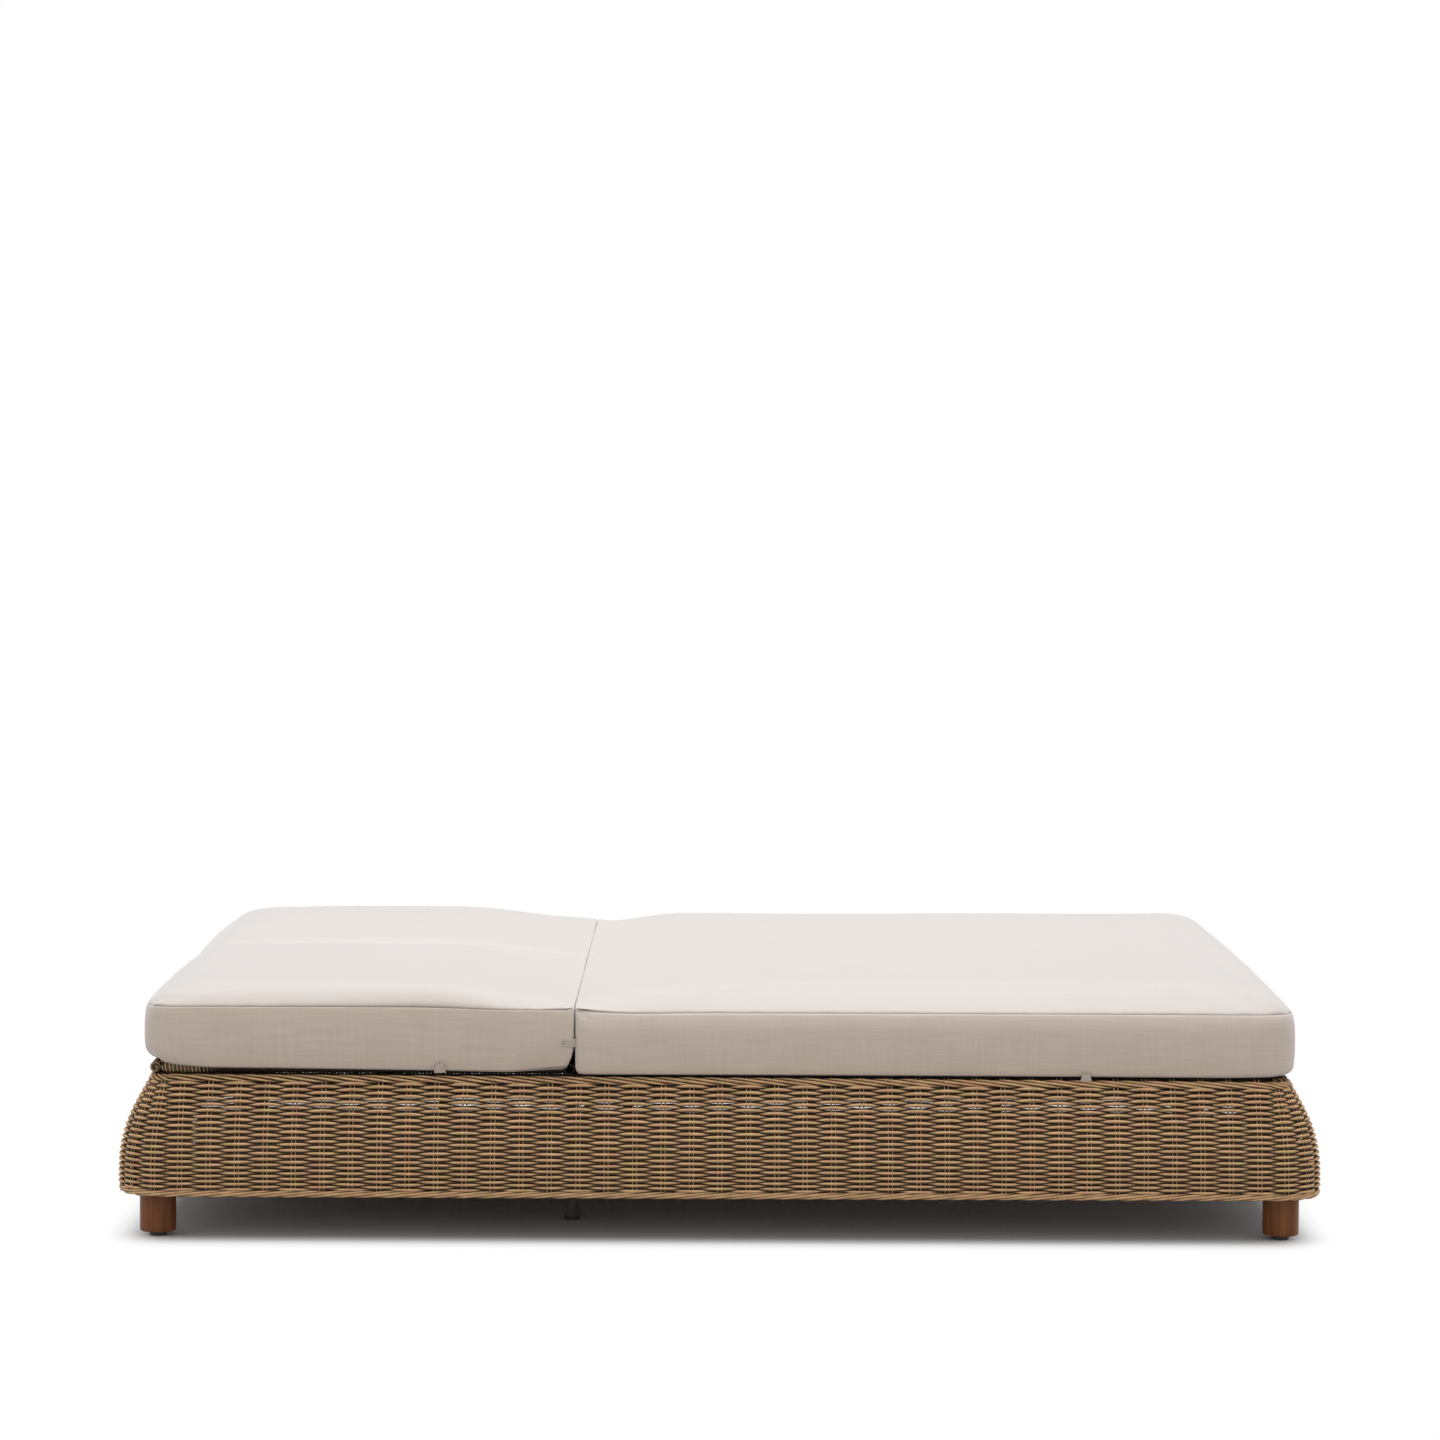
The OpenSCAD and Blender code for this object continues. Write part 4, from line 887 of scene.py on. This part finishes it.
def make_cushion(name, place, a, b, joint, split, radii, feet, bows, seed, *, side_h, crown, slope, rise,
                 sag, seam_in, shoulder, lip, roll_width, roll_power, shoulder_light, reach, fine):
    """Closed cushion: top panel, side band down to a rounded foot, and underside, as one sewn mesh. In plan
    it is 2a by 2b with round corners. The crown rises from the seam by a lip and then by a power over
    roll_width, and from the joint by a quarter sine over reach; the band rolls in over the shoulder. joint
    is the end of X, and split the side of Y or 0, where it is pressed on its neighbour and its seam is
    pushed up. slope is how much higher the seam is away from the joint, rise how much higher the crown is at
    the high end of X, sag how far the underside settles along its outer edge at the low and the high end of
    X, feet the width and height of the foot's rounding at each corner; the shoulder just below the seam is
    given painted light, as much of the top panel's paler colour as its argument says. Marks: seam, which
    also carries painted shade along the foot's bottom edge, the distance off it, the top panel with the
    painted light on the shoulder and on the pressed band, what the filling holds still, and its give."""
    xs, ys = cushion_lines(a, fine), cushion_lines(b, fine)
    nx, ny = len(xs), len(ys)
    gx, gy = np.meshgrid(xs, ys, indexing="ij")
    half = min(a, b)
    plan_x, plan_y = bow_sides(*round_corners(gx, gy, a, b, radii), a, b, bows)

    def off_side(y):
        """Distance in from the free long side, or from the nearer one where neither is split."""
        return b + split * y if split else b - np.abs(y)

    def near_corners(plain, values):
        """A value that is plain along the sides and eases to its own value at each of the four corners."""
        total = np.full(np.shape(gx), float(plain))
        for (sx, sy), value in zip(CORNERS, values):
            share = eased(1 - (a - sx * gx) / CORNER_REACH) * eased(1 - (b - sy * gy) / CORNER_REACH)
            total = total + share * (value - plain)
        return total

    def roll(inset, width, power):
        """Rise behind a seam: a quarter circle over the lip, and the rest as a power over the width."""
        at_lip = np.sqrt(1 - (1 - np.minimum(inset / LIP_WIDTH, 1)) ** 2)
        return lip * at_lip + (1 - lip) * (1 - (1 - np.minimum(inset / width, 1)) ** power)

    def dome(inset):
        """A slight fall from the middle to the sides, as the square of the way out."""
        return 1 - DOME_SHARE * (1 - np.minimum(inset / half, 1)) ** 2

    def seam_lift(x, y):
        """How far the seam is pushed up along the joint and the split: the larger of the two."""
        to_joint = a - joint * x
        at_joint = roll(np.maximum(off_side(y), 0), JOINT_ROLL, JOINT_POWER)
        at_joint = JOINT_LIFT * at_joint * eased(1 - to_joint / JOINT_FADE)
        at_split = JOINT_LIFT + (SPLIT_LIFT - JOINT_LIFT) * valley(to_joint, reach)
        at_split = at_split * eased((a + joint * x - SPLIT_FROM) / SPLIT_FADE)
        return np.maximum(at_joint, at_split * eased(1 - (b - split * y) / SPLIT_REACH) * abs(split))

    def seam_slope(x):
        """The seam's rise away from the joint, less a bell-shaped dip close to it on an unsplit cushion."""
        to_joint = a - joint * x
        bell = np.exp(-((to_joint - DIP_AT) / DIP_WIDTH) ** 2)
        dip = 0 if split else DIP * bell * eased(to_joint / DIP_FADE)
        return slope * (1 - eased(1 - SLOPE_QUICK * to_joint / a)) - dip

    at_joint = eased(off_side(gy) / PRESS_FADE) * eased(1 - (a - joint * gx) / PRESS_REACH)
    at_split = eased((a + joint * gx) / PRESS_FADE) * eased(1 - (b - split * gy) / PRESS_REACH)
    press = np.maximum(at_joint, at_split * abs(split))
    corner_in = near_corners(0.0, [CORNER_SEAM_IN] * 4)
    end_in, side_in = ((inset + corner_in) * (1 - PRESS_SHARE * press) for inset in (END_SEAM_IN, seam_in))
    roll_here = near_corners(roll_width, [roll_width if sx == joint else END_ROLL for sx, _ in CORNERS])
    foot_w, foot_h = (near_corners(FOOT_PLAIN[k], [foot[k] for foot in feet]) for k in (0, 1))

    tx, ty = plan_x * (1 - end_in / a), plan_y * (1 - side_in / b)
    in_x, in_y = a - np.abs(gx), b - np.abs(gy)
    swell_x = np.where(joint * gx > 0, valley(in_x, reach), roll(in_x, END_ROLL, END_POWER))
    swell = swell_x * roll(in_y, roll_here, roll_power) * dome(in_x) * dome(in_y)
    uneven = sum(size * ripple(tx, ty, seed + more, length) for more, length, size in RIPPLES)
    lean = seam_slope(tx) + seam_lift(tx, ty) * (1 - swell)
    tz = side_h + (crown + rise * tx / a + uneven) * swell + lean
    top = np.stack([tx, ty, tz], -1)

    bx, by = plan_x * (1 - foot_w / a), plan_y * (1 - foot_w / b)
    from_edge = np.minimum(a - np.abs(bx), b - np.abs(by))
    settle = eased((SETTLE_IN - from_edge) / (SETTLE_IN - SETTLE_FULL))
    outer = eased(1 - (off_side(plan_y) - SAG_IN) / SAG_FADE)
    if not split:
        outer = np.maximum(outer, eased(1 - (a + joint * plan_x - SAG_IN) / SAG_FADE))
    sag_here = (sag[0] + (sag[1] - sag[0]) * (plan_x / a + 1) / 2) * outer
    bottom = np.stack([bx, by, -sag_here * settle], -1)

    rim_index = np.concatenate([np.arange(nx - 1) * ny, (nx - 1) * ny + np.arange(ny - 1),
                                (np.arange(nx - 1, 0, -1)) * ny + ny - 1, np.arange(ny - 1, 0, -1)])
    rim_x, rim_y, rim_end_in, rim_side_in, rim_w, rim_h, rim_sag, rim_press = (
        v.ravel()[rim_index] for v in (plan_x, plan_y, end_in, side_in, foot_w, foot_h, sag_here, press))
    seam_z = side_h + seam_slope(rim_x) + seam_lift(rim_x, rim_y)
    belly = BELLY * (1 - rim_press)
    turn = 0.5 * math.pi * np.linspace(0, 1, FOOT_CUTS + 1)[1:, None]
    foot_z, foot_in = rim_h * (1 - np.cos(turn)), rim_w * (1 - np.sin(turn))
    mid_z = rim_h + (seam_z - SIDE_CUTS[0] - rim_h) * np.array([[0.33], [0.66]])
    off = np.array(SIDE_CUTS)[:, None]
    round_in = 1 - np.sqrt(1 - np.clip(1 - off / shoulder, 0, 1) ** 2)
    band_z = np.concatenate([foot_z, mid_z, seam_z - off])
    bulge = belly * np.abs(2 * band_z / seam_z - 1) ** BELLY_POWER
    end_band, side_band = (np.concatenate([foot_in, 0 * mid_z, (inset - belly) * round_in]) + bulge
                           for inset in (rim_end_in, rim_side_in))
    band_z = band_z - rim_sag * (1 - band_z / seam_z) ** SAG_POWER
    band = np.stack([rim_x * (1 - end_band / a), rim_y * (1 - side_band / b), band_z], -1)

    count, around = nx * ny, len(rim_index)
    points = np.concatenate([part.reshape(-1, 3) for part in (top, bottom, band)])
    band_index = 2 * count + np.arange(len(band))[:, None] * around + np.arange(around)
    rings = np.concatenate([[count + rim_index], band_index, [rim_index]])
    after = np.roll(rings, -1, axis=1)
    faces = [grid_faces(nx, ny, flip=True), grid_faces(nx, ny, start=count),
             np.stack([rings[:-1], after[:-1], after[1:], rings[1:]], -1).reshape(-1, 4)]
    steps = np.hypot(np.diff(np.append(rim_x, rim_x[0])), np.diff(np.append(rim_y, rim_y[0])))
    walk = np.concatenate([[0], np.cumsum(steps)]) * MM
    climb = np.concatenate([[-FOOT_PLAIN[0]], band_z[:, 0], [side_h]]) * MM
    panel_map = grid_map(xs * MM, ys * MM)
    maps = [panel_map[:, ::-1], panel_map, grid_map(climb, walk)[..., ::-1]]

    below = seam_z - band_z
    seam, held, lit_top_mark = np.zeros((3, len(points)))
    # The seam mark draws the seam in and darkens it as painted shade in its groove, less where the cushion
    # is pressed; the underside's rim and the first two band rings get painted shade under the foot's bottom
    # edge.
    seam[rim_index] = 1 - PRESS_HOLD * rim_press
    seam[count + rim_index] = FOOT_DARK
    seam[2 * count:2 * (count + around)] = FOOT_DARK
    held[rim_index] = 1
    held[count:2 * count + HELD_RINGS * around] = 1
    # Painted light: the top panel takes the paler top colour, and so, fading down the band, do the shoulder
    # just below the seam and the band where the cushion presses on its neighbour.
    lit_top_mark[:count] = 1
    lit_top_mark[2 * count:] = np.maximum(shoulder_light * np.exp(-below / SHOULDER_LIGHT_FADE),
                                      rim_press * np.exp(-below / PRESS_LIGHT_FADE)).ravel()
    off_seam = np.concatenate([np.minimum(in_x, in_y).ravel(), np.full(count, side_h), below.ravel()])
    give = np.full(len(points), SIDE_GIVE)
    give[:count] = TOP_GIVE * (1 - PRESS_HOLD * press.ravel())
    give[2 * count:] *= np.tile(1 - PRESS_HOLD * rim_press, len(band))
    marks = {"seam": seam, "off_seam": off_seam, "top": lit_top_mark, "held": held, "give": give}
    return make_piece(name, points + np.array(place), faces, maps, marks, cushion_cloth)


def read_points(mesh, field="co"):
    """A vector field of a mesh's points as an array."""
    values = np.zeros(len(mesh.vertices) * 3, np.float32)
    mesh.vertices.foreach_get(field, values)
    return values.reshape(-1, 3).astype(float)


def read_mark(mesh, key):
    """A mark of a mesh's points as an array."""
    values = np.zeros(len(mesh.vertices), np.float32)
    mesh.attributes[key].data.foreach_get("value", values)
    return values.astype(float)


FILL_FRAMES = 20
FILL_CLOTH = {"quality": 6, "mass": 0.3, "tension_stiffness": 25.0, "compression_stiffness": 12.0,
              "shear_stiffness": 8.0, "bending_stiffness": 0.6, "use_pressure": True,
              "uniform_pressure_force": 4.0}


def fill_covers(pieces):
    """Blows the covers up as cloth: undersides and seams are held, gravity is off, and the way of each
    point is eased so that it ends within its give."""
    scene = bpy.context.scene
    for piece in pieces:
        held = piece.vertex_groups.new(name="held")
        held.add(np.nonzero(read_mark(piece.data, "held") > 0.5)[0].tolist(), 1.0, "REPLACE")
        filling = piece.modifiers.new("filling", "CLOTH")
        filling.point_cache.frame_start, filling.point_cache.frame_end = 1, FILL_FRAMES
        filling.settings.vertex_group_mass = held.name
        filling.settings.effector_weights.gravity = 0.0
        for key, value in FILL_CLOTH.items():
            setattr(filling.settings, key, value)
    for step in range(1, FILL_FRAMES + 1):
        scene.frame_set(step)
    depsgraph = bpy.context.evaluated_depsgraph_get()
    for piece in pieces:
        before = read_points(piece.data)
        way = read_points(piece.evaluated_get(depsgraph).data) - before
        size = np.maximum(np.linalg.norm(way, axis=1), 1e-9)
        give = read_mark(piece.data, "give") * MM
        points = before + way * (give * np.tanh(size / give) / size)[:, None]
        piece.data.vertices.foreach_set("co", points.astype(np.float32).ravel())
        piece.modifiers.clear()
        piece.vertex_groups.clear()
    scene.frame_set(1)


SEAM_DEPTH, SEAM_WIDTH, SEAM_POWER = 1.7, 3.0, 1.5
GATHER, GATHER_REACH, GATHER_START, GATHER_SIDE = 0.55, 20.0, 2.5, 70.0
GATHER_LENGTHS, GATHER_SWING = (31.0, 47.0, 83.0), 190.0


def sew_cover(piece, node, a, b, mid, seed):
    """One subdivision, then the seam is drawn in along the surface's normal, and short gathers run from it:
    sines along the side whose size falls off exponentially with the distance from the seam."""
    finer = piece.modifiers.new("finer", "SUBSURF")
    finer.levels = finer.render_levels = 1
    depsgraph = bpy.context.evaluated_depsgraph_get()
    mesh = bpy.data.meshes.new_from_object(piece.evaluated_get(depsgraph), depsgraph=depsgraph)
    piece.modifiers.clear()
    piece.data = mesh
    points, normals = read_points(mesh), read_points(mesh, "normal")
    seam, off = read_mark(mesh, "seam"), read_mark(mesh, "off_seam")
    x, y = points[:, 0] / MM - mid[0], points[:, 1] / MM - mid[1]
    own = np.random.default_rng(seed)
    waves = 0
    for place, across, half in ((x, y, b), (y, x, a)):
        share = eased(1 - (half - np.abs(across)) / GATHER_SIDE)
        for length in GATHER_LENGTHS:
            swing = np.sin(TURN * place / GATHER_SWING + own.random() * TURN)
            waves = waves + share * swing * np.sin(TURN * place / length + own.random() * TURN)
    gather = GATHER * waves * np.exp(-off / GATHER_REACH) * (1 - np.exp(-off / GATHER_START))
    drawn = SEAM_DEPTH * np.where(off < SEAM_WIDTH, seam, 0) ** SEAM_POWER
    lift = (gather - drawn) * MM
    mesh.vertices.foreach_set("co", (points + normals * lift[:, None]).astype(np.float32).ravel())
    mesh.update()
    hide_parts(node)


CUSHION_X, CUSHION_Y, CUSHION_GAP, JOINT_X = 955.0, 704.0, 2.4, -241.0
SEAT_UNDER, BACK_UNDER = 273.3, 288.8
CORNER_OUT, CORNER_IN, CORNER_TIGHT = 46.0, 9.0, 4.0
FOOT_HEAD, FOOT_SEAT, FOOT_JOINT = (29.0, 31.0), (20.0, 16.0), (22.0, 36.0)
BOW_OUT, BOW_SIDE, BOW_INNER = 8.0, -3.5, 0.9
seat_a = (CUSHION_X - JOINT_X - CUSHION_GAP / 2) / 2
seat_mid = CUSHION_X - seat_a
back_a = (CUSHION_X + JOINT_X - CUSHION_GAP / 2) / 2
back_mid = -CUSHION_X + back_a
back_b = (CUSHION_Y - CUSHION_GAP / 2) / 2
back_mid_y = CUSHION_Y - back_b

seat = make_cushion("seat_cushion_cover", (seat_mid, 0, SEAT_UNDER), seat_a, CUSHION_Y, -1, 0,
                    (CORNER_OUT, CORNER_IN, CORNER_IN, CORNER_OUT),
                    (FOOT_SEAT, FOOT_PLAIN, FOOT_PLAIN, FOOT_SEAT), (BOW_OUT, BOW_INNER, BOW_SIDE, BOW_SIDE),
                    3, **SEAT_CUT)
backs = {}
for label, sign in (("near", -1), ("far", 1)):
    radii = (CORNER_TIGHT, CORNER_IN, CORNER_OUT, CORNER_IN)[::-sign]
    feet = (FOOT_PLAIN, FOOT_PLAIN, FOOT_HEAD, FOOT_JOINT)[::-sign]
    bows = (BOW_INNER, BOW_OUT, *(BOW_INNER, BOW_SIDE)[::-sign])
    backs[label] = make_cushion(f"{label}_back_cushion_cover", (back_mid, sign * back_mid_y, BACK_UNDER),
                                back_a, back_b, 1, -sign, radii, feet, bows, 12 + sign, **BACK_CUT)
fill_covers([seat, *backs.values()])
sew_cover(seat, "seat_cushion", seat_a, CUSHION_Y, (seat_mid, 0), 31)
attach(seat, "base")
for label, sign in (("near", -1), ("far", 1)):
    mid_y = sign * back_mid_y
    sew_cover(backs[label], f"{label}_back_cushion", back_a, back_b, (back_mid, mid_y), 32 + sign)
    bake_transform(backs[label])


# Tapes that tie the cushions down and link them

TAPE_THICK, TAPE_COLS, TAPE_ROWS = 0.8, 33, 15
TAPE_MAP_ROUND, TAPE_MAP_LONG = 0.034, 0.012
TAPE_WIDEN, TAPE_UNEVEN, FOLD_START, FOLD_SHIFT = 1.3, 0.05, 0.25, 0.7
HEM_WAVE, HEM_WAVES, CURL_SPAN, CURL_FROM = 0.5, 7.0, 0.45, 1.2
TIE_OUT, TIE_DROP, TIE_SPARE = 5.0, 4.0, 2.0
TIE = dict(wide=(12.0, 19.0), folds=4.0, depth=0.9, upright=True)
LINK_OUT, LINK_SHIFT = 3.8, 9.0
LINK = dict(tall=23.0, wide=(13.0, 15.0), folds=2.6, depth=0.7, upright=False, curl=6.0)
SEAT_TIE_X, BACK_TIE_X = 605.0, -463.0


def gathered_tape(middle, outward, *, tall, wide, folds, depth, upright, curl=0.0):
    """A short tape gathered at its sewn end. Across it u runs from -1 to 1, along it v from 0 to 1: it
    widens with v, and its folds are depth v cos(folds pi u). It lies in the plane square to outward, and its
    far end curls inwards by curl. The loop of points goes over its front and back over its back."""
    u, v = np.meshgrid(np.linspace(-1, 1, TAPE_COLS), np.linspace(0, 1, TAPE_ROWS))
    width = wide[0] + (wide[1] - wide[0]) * v ** TAPE_WIDEN
    across = 0.5 * width * (u + TAPE_UNEVEN * np.sin(2.0 * folds * u))
    fold = depth * (FOLD_START + (1 - FOLD_START) * v) * np.cos(folds * math.pi * u + FOLD_SHIFT)
    along = tall * (v - 0.5) + HEM_WAVE * v * np.sin(HEM_WAVES * u)
    in_x, in_z = (across, -along) if upright else (along, across)
    sheets = []
    for side in (1, -1):
        level = fold + 0.5 * side * TAPE_THICK - curl * np.clip(v / CURL_SPAN - CURL_FROM, 0, 1) ** 2
        sheets.append(np.stack([middle[0] + in_x, middle[1] + outward * level, middle[2] + in_z], -1))
    return np.concatenate([sheets[0], sheets[1][:, ::-1]], axis=1)


def tape_at(node, sign, x, upright=True):
    """A gathered tape in the space of a node, on the near side for sign -1 and on the far side for 1."""
    low, high = (np.array(p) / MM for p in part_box(node))
    edge = high[1] if sign > 0 else low[1]
    mid_z = 0.5 * (low[2] + high[2])
    if upright:
        tall = high[2] - low[2] + TIE_SPARE
        return gathered_tape((x, edge + sign * TIE_OUT, mid_z - TIE_DROP), sign, tall=tall, **TIE)
    return gathered_tape((x - LINK_SHIFT, edge + sign * LINK_OUT, mid_z), sign, **LINK)


def tape_piece(name, loops, body, node):
    """Closed tapes as one piece: each is a loop of points round its section, row by row, with its two ends
    closed by a strip between front and back."""
    cols = 2 * TAPE_COLS
    size = cols * TAPE_ROWS
    half = TAPE_COLS // 2
    faces, maps = [], []
    loop_map = grid_map(np.linspace(0, TAPE_MAP_LONG, TAPE_ROWS), np.linspace(0, TAPE_MAP_ROUND, cols + 1))
    k = np.arange(TAPE_COLS - 1)
    first_end = np.stack([k, cols - 1 - k, cols - 2 - k, k + 1], -1)
    ends = np.concatenate([first_end, first_end[:, ::-1] + size - cols])
    for index, loop in enumerate(loops):
        a, b = loop[1, 1] - loop[0, 1], loop[0, 2] - loop[0, 1]
        outside = np.dot(np.cross(b, a), loop[0, half] - loop[0, cols - 1 - half]) > 0
        turned = -1 if outside else 1
        faces += [grid_faces(TAPE_ROWS, cols, wrap=True, start=index * size, flip=outside),
                  (ends + index * size)[:, ::turned]]
        maps += [loop_map[:, ::turned], np.zeros((len(ends), 4, 2))]
    # A small patch at each tape's sewn end is darkened through the seam mark.
    sewn_end_dark = np.zeros((len(loops), TAPE_ROWS, cols))
    sewn_end_dark[:, 1:3, half - 2:half + 2] = 1
    points = np.concatenate([loop.reshape(-1, 3) for loop in loops])
    make_piece(name, points, faces, maps, {"seam": sewn_end_dark.ravel()}, tape_cloth, node, body)


tape_piece("seat_tie_tapes", [tape_at("seat_cushion_ties", side, SEAT_TIE_X) for side in (-1, 1)], "base",
           "seat_cushion_ties")
tape_piece("link_tapes", [tape_at("cushion_links", side, JOINT_X, False) for side in (-1, 1)], "base",
           "cushion_links")
for label, sign in (("near", -1), ("far", 1)):
    tie = f"{label}_back_cushion_tie"
    tape_piece(f"{label}_back_tie_tape", [tape_at(tie, sign, BACK_TIE_X)], f"{label}_back", tie)


# Floor, light and camera

FLOOR_HALF, FLOOR_LINES = 9000.0, 9
FLOOR_SEEN, FLOOR_LIT = (0.97, 0.96, 0.955), (0.5, 0.5, 0.5)
SHADOW_X, SHADOW_Y, SHADOW_FROM, SHADOW_TO = 1.12, 0.84, -70.0, 45.0
SKY_LOW, SKY_HIGH, WHITE = 0.79, 0.42, (1.0, 1.0, 1.0)


def seen_share(net):
    """One for camera, glossy and clear rays, nothing for all others."""
    path = net.add("LightPath").outputs
    share = net.maths("MAXIMUM", path["Is Camera Ray"], path["Is Glossy Ray"])
    return net.maths("MAXIMUM", share, path["Is Transmission Ray"])


def make_floor():
    """Flat pale floor: a grid with its middle under the lounger. Where rays see it, it fades to white with
    the distance from the lounger's rounded plan, past the soft shadow."""
    line = np.linspace(-FLOOR_HALF, FLOOR_HALF, FLOOR_LINES)
    gx, gy = np.meshgrid(line, line, indexing="ij")
    points = np.stack([gx, gy, np.zeros_like(gx)], -1).reshape(-1, 3)
    material = bpy.data.materials.new("studio_floor")
    material.use_nodes = True
    net = Net(material.node_tree)
    net.tree.nodes.remove(net.tree.nodes["Principled BSDF"])
    shaded = net.add("BsdfDiffuse", {"Color": net.mix(seen_share(net), FLOOR_LIT, FLOOR_SEEN)})
    squares = []
    for place, corner, size in zip(net.split(net.on_piece()), (CORNER_X, CORNER_Y), (SHADOW_X, SHADOW_Y)):
        off = net.maths("SUBTRACT", net.maths("ABSOLUTE", place), corner * MM)
        off = net.times(net.maths("MAXIMUM", off, 0.0), size)
        squares.append(net.times(off, off))
    fade = {"Value": net.maths("SQRT", net.plus(*squares)), "From Min": (CORNER_R + SHADOW_FROM) * MM,
            "From Max": (CORNER_R + SHADOW_TO) * MM}
    beyond = net.add("MapRange", fade, interpolation_type="SMOOTHSTEP").outputs[0]
    white = net.add("Emission", {"Color": WHITE, "Strength": 1.0})
    shader = net.add("MixShader", {0: net.times(seen_share(net), beyond), 1: shaded.outputs[0],
                                   2: white.outputs[0]})
    net.fill(net.tree.nodes["Material Output"], {"Surface": shader.outputs[0]})
    faces = [grid_faces(FLOOR_LINES, FLOOR_LINES, flip=True)]
    make_piece("floor", points, faces, [grid_map(line * MM, line * MM)[:, ::-1]], {}, material)


def make_world():
    """White surroundings that light the object softly: brighter at the sides than overhead, where the lamp
    is."""
    world = bpy.data.worlds.new("studio")
    bpy.context.scene.world = world
    world.use_nodes = True
    net = Net(world.node_tree)
    height = net.split(net.add("TexCoord").outputs["Generated"])[2]
    grey = net.grey(net.spread(height, 0.0, 1.0, SKY_LOW, SKY_HIGH))
    net.fill(net.tree.nodes["Background"], {"Color": net.mix(seen_share(net), grey, WHITE)})


LAMP_AT, LAMP_AIM, LAMP_SIZE, LAMP_POWER = (0.0, 0.3, 3.2), (0.0, 0.0, 0.3), (4.6, 3.6), 95.0


def make_lamp():
    """One wide soft lamp over the lounger."""
    lamp = bpy.data.lights.new("overhead", "AREA")
    lamp.shape = "RECTANGLE"
    lamp.size, lamp.size_y = LAMP_SIZE
    lamp.energy = LAMP_POWER
    holder = bpy.data.objects.new("overhead", lamp)
    holder.location = LAMP_AT
    holder.rotation_mode = "QUATERNION"
    holder.rotation_quaternion = (Vector(LAMP_AIM) - Vector(LAMP_AT)).to_track_quat("-Z", "Y")
    bpy.context.scene.collection.objects.link(holder)


FOCAL_PX, FRAME_PX, SENSOR = 4240.0, 1440.0, 36.0
CAMERA_AT = (-0.0134, -7.6634, 1.2646)
YAW, PITCH, ROLL = math.radians(0.088), math.radians(3.321), math.radians(0.245)


def make_camera():
    """Camera of the photograph: yaw about Z, then pitch down, then roll about the line of sight."""
    ahead = Vector((math.sin(YAW) * math.cos(PITCH), math.cos(YAW) * math.cos(PITCH), -math.sin(PITCH)))
    right = Vector((math.cos(YAW), -math.sin(YAW), 0))
    up = right.cross(ahead)
    right_r = right * math.cos(ROLL) + up * math.sin(ROLL)
    up_r = up * math.cos(ROLL) - right * math.sin(ROLL)
    data = bpy.data.cameras.new("camera")
    data.sensor_width = SENSOR
    data.lens = FOCAL_PX / FRAME_PX * SENSOR
    data.clip_start, data.clip_end = 0.1, 100.0
    camera = bpy.data.objects.new("camera", data)
    turn = Matrix((right_r, up_r, -ahead)).transposed().to_4x4()
    camera.matrix_world = Matrix.Translation(CAMERA_AT) @ turn
    bpy.context.scene.collection.objects.link(camera)
    bpy.context.scene.camera = camera


make_floor()
make_world()
make_lamp()
make_camera()
bpy.context.scene.view_settings.view_transform = "Standard"
